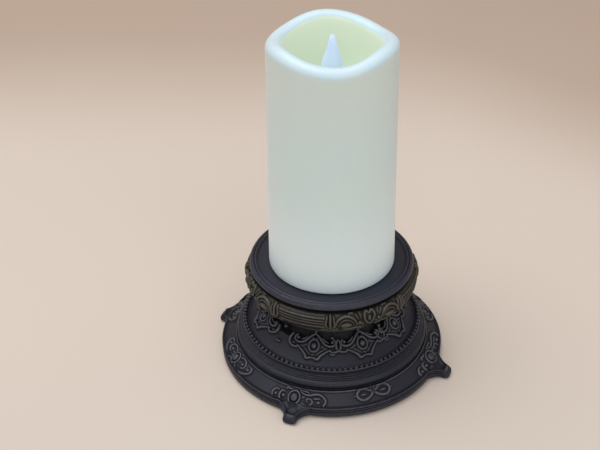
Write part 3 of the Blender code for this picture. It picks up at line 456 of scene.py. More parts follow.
# Each work's place as azimuth and distance up the band, its width in mm to the degree, its reach.
BAND_WORKS = (
    (((-111.6, 3.5), (67.0, 3.5)), foot_jewel_work(), 1.13, 21.0),
    (((-23.2, 2.6),), foot_jewel_work(), 0.94, 21.0),
    (((-157.6, 4.2), (154.0, 3.6), (23.0, 4.2)), scroll_work(), 1.13, 20.0),
    (((-68.4, 5.6), (112.0, 5.6)), knot_work(), 1.2, 16.0),
)
BAND_SINK = 0.55
SADDLE_KNOB = 1.1
SADDLE_DIP = 1.3


def band_rows():
    """The flange's stepped edge, the feet, and the sunk band with its relief."""
    azimuth = np.arange(RING_STEPS) * 2 * math.pi / RING_STEPS
    edge, out_share = flange_edge(azimuth)
    squeeze = 1 - FOOT_EDGE_DROP * out_share / (FLANGE_TOP - FLANGE_UNDER)
    rows = []
    for inset, z in FLANGE_STEPS:
        rounded = 0.3 + 2.2 * max(0.0, (z - 3.5) / 4.0) ** 2
        plan = drawn_in(edge, inset + (rounded - inset) * out_share**2)
        rows.append(np.column_stack([plan, FLANGE_UNDER + (z - FLANGE_UNDER) * squeeze]))
    lip = rows[-1]
    circle = np.stack([np.cos(azimuth), np.sin(azimuth)], -1)
    root = np.column_stack([circle * BAND_OUTER[0], np.full(RING_STEPS, BAND_OUTER[1])])
    saddle = []
    for share in np.linspace(0, 1, 18)[1:-1]:
        row = lip * (1 - share) + root * share
        knob = SADDLE_KNOB * math.exp(-(((share - 0.10) / 0.14) ** 2))
        row[:, 2] += (knob - SADDLE_DIP * math.sin(math.pi * share) ** 0.8) * out_share**1.5
        saddle.append(row)
    saddle = np.array(saddle)
    slope = math.hypot(BAND_OUTER[0] - BAND_INNER[0], BAND_INNER[1] - BAND_OUTER[1])
    lean = math.atan2(BAND_INNER[1] - BAND_OUTER[1], BAND_OUTER[0] - BAND_INNER[0])
    outer = -np.linalg.norm(saddle[:, :, :2] - root[:, :2], axis=2)
    band = np.linspace(0, slope, 34)
    along = np.concatenate([outer, np.broadcast_to(band[:, None], (len(band), RING_STEPS))])
    height = np.maximum.reduce([raise_relief(azimuth, along, *work) for work in BAND_WORKS])
    saddle[:, :, 2] += height[: len(outer)]
    rows += list(saddle)
    for level, raised in zip(band, height[len(outer) :]):
        share = level / slope
        sink = BAND_SINK * min(1.0, min(share, 1 - share) / 0.06)
        radius = BAND_OUTER[0] + (BAND_INNER[0] - BAND_OUTER[0]) * share + (raised - sink) * math.sin(lean)
        z = BAND_OUTER[1] + (BAND_INNER[1] - BAND_OUTER[1]) * share + (raised - sink) * math.cos(lean)
        rows.append(np.column_stack([circle * radius[:, None], z]))
    for radius, z in ((59.6, 13.1), (59.3, 13.0), (59.1, 12.6)):
        rows.append(np.column_stack([circle * radius, np.full(RING_STEPS, z)]))
    rub = [0.16] * len(FLANGE_STEPS) + [0.45] * len(outer) + [1.0] * len(band) + [0.25] * 3
    return np.array(rows), np.array(rub)


INSIDE_FLANGE = ((55.4, 12.2), (55.2, 9.4), (64.6, 4.3), (65.2, 1.6), (65.8, 1.3))
flange_rows, flange_rub = band_rows()
flange_mesh = ring_mesh("pedestal_flange", flange_rows, INSIDE_FLANGE, flange_rub[:, None])
flange = new_piece("pedestal_flange", flange_mesh, dark_patina, "pedestal")
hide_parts("pedestal_base")

# Pedestal casting, mouldings and beading.
# Part of the same casting: a plain torus, a stack of fine turned ridges, and a ring of beads
# that stands in a groove at the foot of the dome.

BEADS = 104
BEAD_RADIUS = 1.22
BEAD_RING = (53.6, 24.4)
# Painted light and shade on each bead: lighter on top, darker underneath.
BEAD_LIGHT_AND_SHADE = 0.11


def turned_rows(profile, steps, wobble=0.0):
    """Rows of points from a profile of (radius, z), turned about the axis."""
    azimuth = np.arange(steps) * 2 * math.pi / steps
    circle = np.stack([np.cos(azimuth), np.sin(azimuth)], -1)
    uneven = 1 + wobble * (np.sin(2 * azimuth + 0.6) + 0.6 * np.sin(5 * azimuth + 2.0))
    return np.array([
        np.column_stack([circle * (radius * uneven)[:, None], np.full(steps, z)]) for radius, z in profile
    ])


RIDGE_DEPTH = 0.55
RIDGE_HALF_HEIGHT = 0.42


def ridge(radius, z):
    """One fine turned ridge, between two thin grooves."""
    groove, shoulder, rise = radius - RIDGE_DEPTH, radius - RIDGE_DEPTH * 0.2, RIDGE_HALF_HEIGHT * 0.7
    return [
        (groove, z - RIDGE_HALF_HEIGHT), (shoulder, z - rise), (radius, z), (shoulder, z + rise),
        (groove, z + RIDGE_HALF_HEIGHT),
    ]


def moulding_profile():
    """The torus, the four ridges and the groove for the beads, from the foot up."""
    profile = [(57.0, 12.4), (58.2, 12.6), (58.5, 13.2)]
    profile += [(56.2 + 2.9 * math.cos(a), 15.9 + 2.5 * math.sin(a)) for a in np.linspace(-1.15, 1.35, 13)]
    for radius, z in ((57.0, 19.0), (56.4, 20.0), (55.7, 21.0), (55.1, 22.0)):
        profile += ridge(radius, z)
    groove = [
        (54.95, 22.7), (55.1, 23.7), (55.0, 24.3), (54.8, 24.5), (54.6, 24.0), (53.6, 23.2), (52.6, 24.0),
        (52.3, 24.6), (52.0, 24.9), (51.7, 24.8), (51.3, 24.6),
    ]
    return profile + groove


def beading():
    """Round beads set close together round the ring, as one mesh."""
    ball_turns, ball_rings = 14, 8
    verts, faces = [], []
    for number in range(BEADS):
        turn = 2 * math.pi * number / BEADS
        size = BEAD_RADIUS * (1 + 0.04 * math.sin(number * 2.4))
        first = len(verts)
        for ring in range(1, ball_rings):
            down = math.pi * ring / ball_rings
            for step in range(ball_turns):
                round_it = 2 * math.pi * step / ball_turns
                radial = BEAD_RING[0] + size * math.sin(down) * math.cos(round_it)
                side = size * math.sin(down) * math.sin(round_it)
                x = radial * math.cos(turn) - side * math.sin(turn)
                y = radial * math.sin(turn) + side * math.cos(turn)
                verts.append((x * MM, y * MM, (BEAD_RING[1] + size * math.cos(down)) * MM))
        x, y = BEAD_RING[0] * math.cos(turn), BEAD_RING[0] * math.sin(turn)
        verts += [(x * MM, y * MM, (BEAD_RING[1] + z) * MM) for z in (size, -size)]
        last = len(verts)
        for step in range(ball_turns):
            after = (step + 1) % ball_turns
            faces.append((last - 2, first + step, first + after))
            low = last - 2 - ball_turns
            faces.append((last - 1, low + after, low + step))
            for ring in range(ball_rings - 2):
                row = first + ring * ball_turns
                faces.append((row + step, row + ball_turns + step, row + ball_turns + after, row + after))
    mesh = bpy.data.meshes.new("beading")
    mesh.from_pydata(verts, [], faces)
    # Painted light and shade: the lift runs with each bead's height, so its top is lighter and its underside darker.
    height = np.array([vert[2] / MM - BEAD_RING[1] for vert in verts]) / BEAD_RADIUS
    lift = (BEAD_LIGHT_AND_SHADE * height).astype(np.float32)
    mesh.attributes.new("lift", "FLOAT", "POINT").data.foreach_set("value", lift)
    mesh.shade_smooth()
    return mesh


INSIDE_MOULDING = ((43.5, 22.2), (49.0, 15.0), (55.2, 12.3))
moulding = ring_mesh("pedestal_moulding", turned_rows(moulding_profile(), 300), INSIDE_MOULDING, rub=0.16)
new_piece("pedestal_moulding", moulding, dark_patina, "pedestal")
new_piece("pedestal_beading", beading(), dark_patina, "pedestal")

# Pedestal casting, dome.
# The casting closes over as a hollow dome up to the neck. Eight cartouches of C-scrolls, each
# round an oval jewel, stand proud of it, their tops against the neck, with small lugs between.

DOME_STEPS = 960
DOME_PROFILE = (
    (51.6, 24.2), (50.9, 24.9), (47.8, 27.2), (43.8, 30.6), (40.6, 33.8), (38.0, 36.4), (36.2, 38.6),
    (35.2, 39.8), (34.6, 40.5),
)
DOME_START = 32.9  # the profile's length from the flange's foot to the dome's foot
DOME_JEWELS = (-162.8, -105.8, -66.8, -30.6, 17.2, 74.2, 113.2, 149.4)
DOME_LUGS = (-136.1, -91.1, -45.5, -0.5, 43.9, 88.9, 134.5, 179.5)
DOME_WORK_LEVEL = 44.5
DOME_MM_PER_DEGREE = 0.724
DOME_GROUND_SINK = 3.0  # behind the work, close to the neck
# Painted shade: how far the sunk ground behind the work is darkened.
DOME_GROUND_PAINTED_SHADE = 0.35


def evenly(profile, spacing):
    """A profile drawn smooth and stepped evenly, with each point's normal and its length along."""
    path = curve_through(profile, 12)
    steps = np.concatenate([[0], np.cumsum(np.hypot(*np.diff(path, axis=0).T))])
    along = np.linspace(0, steps[-1], int(steps[-1] / spacing) + 1)
    path = np.column_stack([np.interp(along, steps, path[:, k]) for k in (0, 1)])
    tangent = np.gradient(path, axis=0)
    tangent /= np.linalg.norm(tangent, axis=1, keepdims=True)
    return path, np.column_stack([tangent[:, 1], -tangent[:, 0]]), along


def relief_rows(path, normal, height, steps):
    """A turned profile with each point moved out along its normal by the relief's height."""
    azimuth = np.arange(steps) * 2 * math.pi / steps
    circle = np.stack([np.cos(azimuth), np.sin(azimuth)], -1)
    rows = []
    for (radius, z), (out, up), raised in zip(path, normal, height):
        rows.append(np.column_stack([circle * (radius + out * raised)[:, None], z + up * raised]))
    return np.array(rows)


def cartouche_work():
    """An oval jewel on a low shield, in a frame of C-scrolls with a point at its foot."""
    strong, fine = (1.0, 1.5), (0.75, 1.05)
    crown = [
        (0, 7.9), (2.4, 6.2), (4.4, 3.9), (6.7, 1.8), (9.3, 0.9), (11.6, 1.6), (12.4, 3.3), (11.6, 4.9)
    ]
    scroll = [(14.5, 4.8), (15.5, 2.0), (14.8, -0.7), (12.6, -2.3), (10.3, -2.4), (9.0, -1.4)]
    return [
        boss((0, 0.4), (7.0, 6.2), 0.55, 0.2),
        boss((0, 0.7), (1.7, 2.2), 2.2),
        collet((0, 0.7), (2.9, 3.7), 0.75, 1.4),
        *both_sides(rib, crown, *strong, 0.7),
        *both_sides(boss, (10.6, 3.4), (1.2, 1.2), 1.4),
        *both_sides(rib, [(4.4, 5.9), (6.2, 4.0), (8.6, 2.9)], *fine),
        *both_sides(rib, scroll, *strong, 0.6),
        *both_sides(rib, [(0, -6.6), (1.4, -6.8), (2.8, -7.3), (4.3, -5.0), (7.0, -2.6), (9.7, -1.0)], *strong, 0.6),
        *both_sides(rib, [(2.0, -4.4), (4.6, -2.2), (7.2, -0.6)], *fine),
        *both_sides(rib, [(3.8, 1.4), (5.6, -0.2), (8.0, -0.8)], *fine),
        *both_sides(rib, [(2.2, 4.6), (0.9, 5.6)], *fine),
        *both_sides(boss, (12.6, -0.4), (0.9, 0.9), 1.1),
        boss((0, -4.8), (1.0, 1.0), 1.0),
        boss((0, 9.0), (1.1, 1.0), 1.3),
    ]


def dome():
    """The dome's rows with their relief, and the painted shade on the sunk ground behind it."""
    path, normal, along = evenly(DOME_PROFILE, 0.33)
    azimuth = np.arange(DOME_STEPS) * 2 * math.pi / DOME_STEPS
    lengths = along + DOME_START
    jewels = [(place, DOME_WORK_LEVEL) for place in DOME_JEWELS]
    height = raise_relief(azimuth, lengths, jewels, cartouche_work(), DOME_MM_PER_DEGREE, 17.5)
    lugs = [rib([(-1.5, -3.4), (0, -3.9), (1.5, -3.4)], 0.8, 1.1), boss((0, 6.0), (1.2, 1.2), 1.6)]
    places = [(place, DOME_WORK_LEVEL) for place in DOME_LUGS]
    height = np.maximum(height, raise_relief(azimuth, lengths, places, lugs, DOME_MM_PER_DEGREE, 5.0))
    fade = np.clip(np.minimum(along, along[-1] - along) / 0.8, 0, 1)[:, None]
    sunk = np.clip((lengths - 46.0) / 3.5, 0, 1)[:, None] * fade
    open_ground = np.clip(1 - height / 0.7, 0, 1)
    deep = sunk * open_ground
    rows = relief_rows(path, normal, height * fade - DOME_GROUND_SINK * deep, DOME_STEPS)
    # The second value is painted shade for the sunk ground, under the collar.
    return rows, DOME_GROUND_PAINTED_SHADE * deep


INSIDE_DOME = ((3.2, 40.5), (3.2, 36.5), (30.8, 36.5), (43.5, 22.3))
dome_rows, dome_painted_shade = dome()
dome_mesh = ring_mesh("pedestal_dome", dome_rows, INSIDE_DOME, painted_shade=dome_painted_shade)
new_piece("pedestal_dome", dome_mesh, dark_patina, "pedestal")

# Leaf collar.
# A separate cast ring, patinated bronze-brown, dropped over the neck and held by the tie bolt.
# Its belly carries four groups of leaves, arches and tulips, with reeding between them.

COLLAR_STEPS = 960
COLLAR_PROFILE = (
    (34.8, 40.85), (35.8, 41.2), (38.0, 42.6), (42.2, 44.0), (42.7, 44.8), (42.6, 46.0), (42.9, 47.0),
    (46.3, 48.4), (49.3, 51.0), (50.8, 54.0), (51.3, 57.0), (51.1, 60.0), (50.2, 61.6), (48.8, 62.35),
    (47.0, 62.5),
)
COLLAR_START = 57.0
COLLAR_MM_PER_DEGREE = 0.908
LEAVES_END = 89.6
REEDS = (86.2, 84.6, 82.9, 80.4)
LEAF_MIDDLE = math.degrees(FOOT_AZIMUTH) + 45.0


def leaf_work():
    """A tulip between two arches, a bound leaf at each end, and reeds that run on to the next."""
    strong, fine = (0.9, 1.35), (0.6, 0.95)
    reeds = [
        rib([(side * out, level) for out in (26.8, 33.0, 40.9)], 0.62, 0.8, 0.9)
        for side in (1, -1)
        for level in REEDS
    ]
    return reeds + [
        *both_sides(rib, [(20.5, 81.0), (19.2, 85.0), (14.5, 87.2), (9.6, 85.4), (7.4, 81.4)], *strong, 0.7),
        *both_sides(rib, [(18.4, 80.6), (17.2, 83.9), (14.4, 85.4), (10.9, 84.2), (9.4, 81.2)], *fine),
        *both_sides(boss, (14.1, 81.6), (3.6, 1.8), 1.5),
        *both_sides(rib, [(11.8, 87.6), (12.4, 89.0), (9.8, 88.8)], *fine),
        *both_sides(boss, (6.1, 82.4), (1.3, 1.3), 1.5),
        *both_sides(rib, [(8.4, 88.2), (7.6, 86.2), (6.5, 84.2)], *fine),
        *both_sides(rib, [(6.2, 89.0), (5.6, 87.0), (5.2, 84.8)], *fine),
        *both_sides(rib, [(0.0, 80.0), (2.0, 82.2), (3.2, 85.6), (1.9, 88.4), (0.2, 87.0)], *strong, 0.6),
        boss((0, 84.0), (1.2, 2.2), 1.2),
        *both_sides(boss, (4.4, 81.0), (0.9, 0.9), 1.1),
        *both_sides(rib, [(23.3, 77.6), (23.3, 83.0), (23.3, 88.6)], 1.1, 1.6, 0.5),
        *both_sides(rib, [(23.3, 78.6), (21.3, 81.4), (20.9, 83.6), (21.6, 87.8)], *strong, 0.5),
        *both_sides(rib, [(23.3, 78.6), (25.4, 81.4), (25.8, 83.6), (25.0, 87.8)], *strong, 0.5),
        *both_sides(rib, [(22.8, 77.8), (20.4, 78.6), (18.6, 78.2)], *fine),
        *both_sides(rib, [(23.8, 77.8), (26.4, 78.6), (28.6, 78.0)], *fine),
        *both_sides(rib, [(4.0, 77.8), (8.0, 78.8), (12.0, 78.2), (16.0, 78.6)], *fine),
    ]


def collar():
    """The collar's rows with their leaves."""
    path, normal, along = evenly(COLLAR_PROFILE, 0.4)
    azimuth = np.arange(COLLAR_STEPS) * 2 * math.pi / COLLAR_STEPS
    lengths = along + COLLAR_START
    groups = [(LEAF_MIDDLE + 90 * index, 0.0) for index in range(4)]
    height = raise_relief(azimuth, lengths, groups, leaf_work(), COLLAR_MM_PER_DEGREE, 41.0)
    height = height * np.clip((LEAVES_END - lengths) / 0.8, 0, 1)[:, None]
    return relief_rows(path, normal, height, COLLAR_STEPS)


bronze_patina = brushed_casting(
    "bronze patina", (0.017, 0.0155, 0.014), (0.025, 0.021, 0.016), (0.090, 0.082, 0.064)
)
INSIDE_COLLAR = ((39.8, 62.5), (42.5, 57.1), (38.0, 47.5), (30.0, 40.85))
collar_mesh = ring_mesh("leafed_collar", collar(), INSIDE_COLLAR)
collar_piece = new_piece("leafed_collar", collar_mesh, bronze_patina, "pedestal")
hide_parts("leaf_collar")

# Candle plate.
# A cast and turned dish that the candle stands in: rolled rim, two fine turned lines inside it,
# flat recess, and a boss underneath for the tie bolt. Its patina is painted lighter and bluer
# than the base's, a painted highlight.

PLATE_PROFILE = (
    (8.0, 50.8), (8.0, 62.4), (8.4, 62.8), (30.0, 62.8), (45.6, 62.8), (46.3, 63.0), (48.2, 64.1),
    (49.1, 64.9), (49.45, 65.6), (49.4, 66.5), (49.0, 67.3), (48.6, 67.9), (48.1, 68.25), (47.7, 68.4),
    (47.3, 68.3), (46.95, 67.95), (46.7, 67.7), (46.45, 67.95), (46.2, 68.2), (45.95, 68.28), (45.7, 68.2),
    (45.5, 67.9), (45.3, 67.75), (45.1, 67.85), (44.9, 67.7), (44.6, 67.15), (44.2, 67.0), (43.0, 67.0),
    (40.0, 67.0), (37.0, 67.0), (30.0, 67.0), (12.0, 67.0), (1.0, 67.0),
)
PLATE_RUB = np.array([0.1] * 17 + [0.5] * 5 + [0.3] * 3 + [0.1] * 8)  # more on the two fine lines
INSIDE_PLATE = ((1.0, 60.3), (3.2, 60.3), (3.2, 50.8))
plate_mesh = ring_mesh("turned_plate", turned_rows(PLATE_PROFILE, 288), INSIDE_PLATE, PLATE_RUB[:, None])
# Painted highlight: a lighter, bluer copy of the black patina for the plate.
plate_patina_painted_highlight = brushed_casting(
    "black patina with painted highlight", (0.026, 0.029, 0.050), (0.029, 0.029, 0.041), (0.120, 0.119, 0.134)
)
plate = new_piece("turned_plate", plate_mesh, plate_patina_painted_highlight, "pedestal")
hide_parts("candle_plate")

# Tie bolt and washer.
# An M6 hexagon bolt with a broad washer, zinc plated, put in from below to clamp the casting,
# the collar and the plate together.

zinc = grained_look(
    "zinc plate", (0.40, 0.41, 0.42), (0.60, 0.61, 0.60), 0.34, 2200.0, 0.00004, metallic=0.95, spread=0.16
)
finish_nodes(zinc, "tie_bolt", "tie_washer")

# Battery housing, its screws and the screws of the board.
# An ivory ABS moulding with a tower for two AA cells, fixed up into the candle by three
# self-tapping screws. Its spark-eroded texture is finer than the casting's.

ivory_plastic = grained_look(
    "ivory moulded plastic", (0.62, 0.60, 0.51), (0.74, 0.72, 0.64), 0.48, 3200.0, 0.00006, Specular_IOR_Level=0.45
)
finish_nodes(ivory_plastic, "battery_housing", "battery_cap")
finish_nodes(zinc, "base_screw_1", "base_screw_2", "base_screw_3", "board_screw_1", "board_screw_2")

# Twist-lock cap, cells and contacts.
# The cap is the same ivory plastic. Two AA cells in printed steel sleeves stand between sprung
# nickel-plated strips, one of them a coil spring.

nickel = grained_look(
    "nickel plate", (0.52, 0.50, 0.45), (0.70, 0.68, 0.62), 0.22, 2400.0, 0.00003, metallic=1.0, spread=0.12
)
finish_nodes(nickel, "positive_contact", "negative_contact", "contact_spring", "cap_contact")


BRIGHT_BAND = 0.0140
BARE_TOP = 0.0022
BARE_FOOT = 0.0010


def sleeve_finish():
    """A lacquered dark sleeve with a bright band at its positive end and bare crimped ends."""
    look, tree, shader = new_look("cell sleeve", 0.3, 0.6, Coat_Weight=0.3)
    place = add_node(tree, "TexCoord").outputs["Object"]
    level = add_node(tree, "SeparateXYZ", {0: place}).outputs["Z"]
    low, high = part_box("cell_a")
    band = ramp(tree, level, high.z - BRIGHT_BAND, high.z - BRIGHT_BAND + 0.0004)
    bare = ramp(tree, level, high.z - BARE_TOP, high.z - BARE_TOP + 0.0002)
    foot = ramp(tree, level, low.z + BARE_FOOT - 0.0002, low.z + BARE_FOOT, 1.0, 0.0)
    grain = place_group(tree, GRAIN, Grains=1800.0)
    dark = blended(tree, grain["Clouds"], (0.05, 0.07, 0.10), (0.08, 0.10, 0.14))
    colour = blended(tree, band, dark, (0.50, 0.34, 0.16))
    colour = blended(tree, sums(tree, "MAXIMUM", bare, foot), colour, (0.62, 0.60, 0.56))
    tree.links.new(colour, shader["Base Color"])
    tree.links.new(ramp(tree, grain["Grain"], 0.3, 0.7, 0.24, 0.36), shader["Roughness"])
    bumped(tree, shader, grain["Grain"], 0.00003)
    return look


finish_nodes(sleeve_finish(), "cell_a", "cell_b")

# Switch.
# A small slide switch: a folded steel can held in the housing, with a black acetal knob that
# stands in a slot on the underside.

can_steel = grained_look(
    "pressed steel can", (0.42, 0.43, 0.44), (0.58, 0.58, 0.58), 0.36, 2600.0, 0.00004, metallic=0.95, spread=0.16
)
black_acetal = grained_look(
    "black acetal", (0.012, 0.012, 0.013), (0.030, 0.030, 0.032), 0.38, 3000.0, 0.00005
)
finish_nodes(can_steel, "switch_body", "crystal")
finish_nodes(black_acetal, "switch_knob")

# Board, LED and leads.
# A round glass-fibre board hangs on two bosses under the well, with a warm LED, a timer chip, a
# crystal and a resistor. Three PVC leads join it to the switch and the cells.

board_green = grained_look(
    "green solder mask", (0.012, 0.10, 0.035), (0.030, 0.20, 0.075), 0.30, 1600.0, 0.00005, Coat_Weight=0.3
)
chip_black = grained_look(
    "moulded chip epoxy", (0.014, 0.014, 0.015), (0.034, 0.033, 0.034), 0.6, 4000.0, 0.00004
)
lacquer = grained_look("resistor lacquer", (0.52, 0.38, 0.22), (0.68, 0.54, 0.36), 0.38, 2600.0, 0.00003)
epoxy = grained_look(
    "warm clear epoxy", (0.80, 0.68, 0.34), (0.92, 0.82, 0.50), 0.16, 1400.0, 0.00002,
    Transmission_Weight=0.35, Coat_Weight=0.4,
)
finish_nodes(board_green, "control_board")
finish_nodes(chip_black, "timer_chip")
finish_nodes(lacquer, "resistor")
finish_nodes(epoxy, "led")
for lead, dark, light in (
    ("red_lead", (0.36, 0.010, 0.008), (0.56, 0.025, 0.018)),
    ("black_lead", (0.012, 0.012, 0.012), (0.032, 0.031, 0.031)),
    ("switch_lead", (0.62, 0.61, 0.56), (0.76, 0.75, 0.70)),
):
    insulation = grained_look(f"{lead} insulation", dark, light, 0.5, 3000.0, 0.00004)
    finish_nodes(insulation, lead)

# Flame.
# A hollow frosted flame of milky plastic on a stem, pushed up through the well's floor. The LED
# under it lights it from inside, so that it looks pale blue-white by day.

FLAME_STEPS = 72
FLAME_PROFILE = (
    (3.5, 166.7), (8.5, 166.7), (8.5, 168.2), (4.8, 168.2), (4.8, 173.3), (5.5, 175.7), (6.5, 178.3),
    (7.2, 181.5), (7.45, 184.9), (7.2, 188.5), (6.65, 191.9), (6, 195.1), (5.22, 198.7), (4.14, 201.5),
    (3.25, 204.1), (2.68, 206.7), (2.2, 208.9), (1.68, 210.6), (1.22, 211.8), (0.45, 212.45),
)
FLAME_BEND = (178.0, 36.0)  # where it starts and how far it runs


def flame_rows():
    """The turned flame, flattened and bent a little like a real one."""
    rows = turned_rows(FLAME_PROFILE, FLAME_STEPS)
    start, run = FLAME_BEND
    rise = np.clip((rows[:, :, 2] - start) / run, 0, 1)
    rows[:, :, 1] *= 1 - 0.10 * rise
    rows[:, :, 0] += 0.25 * np.sin(3.0 * rise) * rise
    return rows


def frosted_finish():
    look, tree, shader = new_look(
        "frosted flame plastic", 0.5, Subsurface_Weight=0.5, Subsurface_Scale=0.004, Emission_Strength=0.20,
    )
    shader["Subsurface Radius"].default_value = (1.0, 1.0, 1.0)
    grain = place_group(tree, GRAIN, Grains=1500.0)
    place = add_node(tree, "TexCoord").outputs["Object"]
    level = add_node(tree, "SeparateXYZ", {0: place}).outputs["Z"]
    share = ramp(tree, level, 0.186, 0.212)
    colour = blended(tree, share, (0.52, 0.67, 0.80), (0.535, 0.635, 0.86))
    fine = sums(tree, "MULTIPLY", grain["Grain"], 0.15)
    tree.links.new(blended(tree, fine, colour, (0.75, 0.85, 0.92)), shader["Base Color"])
    tree.links.new(colour, shader["Emission Color"])
    tree.links.new(ramp(tree, grain["Grain"], 0.3, 0.7, 0.44, 0.58), shader["Roughness"])
    bumped(tree, shader, grain["Grain"], 0.00008)
    return look


FLAME_BORE = ((0.3, 202.9), (1.9, 200.9), (4.4, 193.9), (6.0, 185.9), (5.6, 179.9), (3.5, 173.9))
flame_mesh = ring_mesh("frosted_flame", flame_rows(), FLAME_BORE)
flame = new_piece("frosted_flame", flame_mesh, frosted_finish(), "candle")
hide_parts("flame_lens")

# Candle.
# A moulded shell skinned with real ivory wax: slightly tapered, with a soft rolled lip that
# waves three times round, and a well that drops to the flame. Posts inside take the screws.

SHELL_STEPS = 256
CREST = 210.5
WELL_FLOOR = 172.5
WAVE_FADES_FROM = 20.0  # below the crest
WAVE_FADES_OVER = 15.0


def shell_profile():
    """The shell's outside, lip and well, from its foot up and over and down to the flame's hole."""
    foot = [(36.1, 67.3), (36.8, 67.42), (37.25, 67.8), (37.5, 68.3), (37.6, 69.0)]
    side = [(37.6 - 1.6 * share, 69.0 + 121.5 * share) for share in np.linspace(0.03, 1, 26)]
    side += [(36.0, 195.5), (36.0, 199.0), (36.0, 202.0), (36.0, 204.5)]
    lip = [(31.5 + 4.5 * math.cos(a), 206.0 + 4.5 * math.sin(a)) for a in np.linspace(0.05, math.pi / 2, 12)]
    lip += [(31.5 + 4.2 * math.cos(a), 206.5 + 4.0 * math.sin(a)) for a in np.linspace(1.72, 3.05, 11)]
    well = [(27.1, 204.5), (26.9, 201.5), (26.7, 197.5), (26.6, 193.5), (26.5, 189.5)]
    well += [(16.3 + 10.0 * math.cos(a), 185.7 + 12.0 * math.sin(a)) for a in np.linspace(0, -1.4, 10)]
    return foot + side + lip + well + [(12.0, 173.1), (6.3, WELL_FLOOR), (5.3, 172.5), (5.1, 172.3), (5.1, 168.5)]


def lip_level(turn):
    """How far the lip stands above its mean crest: three waves round, a little higher at the back."""
    return -2.0 * np.sin(3 * turn - 0.165) + 0.6 * np.sin(turn) - 0.3 * np.sin(2 * turn)


def shell_rows():
    """The turned shell with its lip waved, and the wave faded out below it."""
    rows = turned_rows(shell_profile(), SHELL_STEPS, 0.0012)
    turn = np.arctan2(rows[:, :, 1], rows[:, :, 0])
    share = np.clip((rows[:, :, 2] - (CREST - WAVE_FADES_FROM)) / WAVE_FADES_OVER, 0, 1)
    ease = share * share * (3 - 2 * share)
    rows[:, :, 2] += (lip_level(turn) + 0.12 * np.sin(7 * turn + 1.0)) * ease
    return rows


def wax_finish():
    """Ivory wax: light that soaks in a little, faint clouds, a satin bloom, small dimples, and painted light: a
    colour shift with height, a bluer lip band, a lighter, glowing well.
    """
    look, tree, shader = new_look(
        "ivory wax", 0.42, Subsurface_Weight=0.35, Subsurface_Scale=0.006, Coat_Weight=0.05,
        Coat_Roughness=0.35, Sheen_Weight=0.18, Emission_Strength=0.30,
    )
    shader["Subsurface Radius"].default_value = (1.0, 0.9, 0.6)
    grain = place_group(tree, GRAIN, Grains=420.0, Cloudiness=0.06)
    place = add_node(tree, "TexCoord").outputs["Object"]
    level = add_node(tree, "SeparateXYZ", {0: place}).outputs["Z"]
    flat = add_node(tree, "VectorMath", {0: place, 1: (1, 1, 0)}, operation="MULTIPLY").outputs[0]
    radius = add_node(tree, "VectorMath", {0: flat}, operation="LENGTH").outputs["Value"]
    below_lip = add_node(tree, "Attribute", attribute_name="below_lip").outputs["Fac"]
    # Painted light and shade: the shell is paler and bluer low down, darker and greener higher up.
    colour = blended(tree, ramp(tree, level, 0.075, 0.150), (0.700, 0.790, 0.785), (0.606, 0.700, 0.668))
    colour = blended(tree, ramp(tree, level, 0.150, 0.200), colour, (0.618, 0.690, 0.632))
    # Painted highlight: a bluer, lighter band along the lip.
    colour = blended(tree, ramp(tree, below_lip, 2.2, 6.8, 1.0, 0.0), colour, (0.582, 0.722, 0.785))
    # Painted light in the well: a lighter colour and an emitted glow that stand in for the LED's light.
    inner = ramp(tree, radius, 0.0286, 0.0300, 1.0, 0.0)
    well = sums(tree, "MULTIPLY", inner, ramp(tree, below_lip, 1.6, 3.2))
    colour = blended(tree, well, colour, (0.68, 0.77, 0.60))
    tree.links.new(blended(tree, well, (0.0, 0.0, 0.0), (0.30, 0.27, 0.27)), shader["Emission Color"])
    clouds = sums(tree, "MULTIPLY", grain["Clouds"], 0.10)
    tree.links.new(blended(tree, clouds, colour, (0.72, 0.74, 0.64)), shader["Base Color"])
    tree.links.new(ramp(tree, grain["Grain"], 0.3, 0.7, 0.36, 0.50), shader["Roughness"])
    dimples = sums(tree, "ADD", grain["Grain"], sums(tree, "MULTIPLY", grain["Clouds"], 0.8))
    bumped(tree, shader, dimples, 0.00010)
    return look


INSIDE_SHELL = ((20.8, 168.5), (29.8, 163.5), (31.8, 154.5), (33.4, 73.3), (34.8, 73.3), (34.8, 67.3))
shell_mesh = ring_mesh("wax_shell", shell_rows(), INSIDE_SHELL)
shell_points = np.array([vert.co for vert in shell_mesh.vertices]) / MM
below_lip = CREST + lip_level(np.arctan2(shell_points[:, 1], shell_points[:, 0])) - shell_points[:, 2]
shell_mesh.attributes.new("below_lip", "FLOAT", "POINT").data.foreach_set("value", below_lip.astype(np.float32))
shell = new_piece("wax_shell", shell_mesh, wax_finish(), "candle")
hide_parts("candle_shell")

POSTS = (  # azimuth, distance out, outer radius, bore, bottom, top
    (30, 30.4, 3.4, 1.6, 73.3, 84.3), (150, 30.4, 3.4, 1.6, 73.3, 84.3), (270, 30.4, 3.4, 1.6, 73.3, 84.3),
    (0, 12.0, 2.6, 1.3, 160.3, 169.4), (180, 12.0, 2.6, 1.3, 160.3, 169.4),
)
POST_SIDES = 20
POST_CHAMFER = 0.2
BORE_DEPTH = 6.0


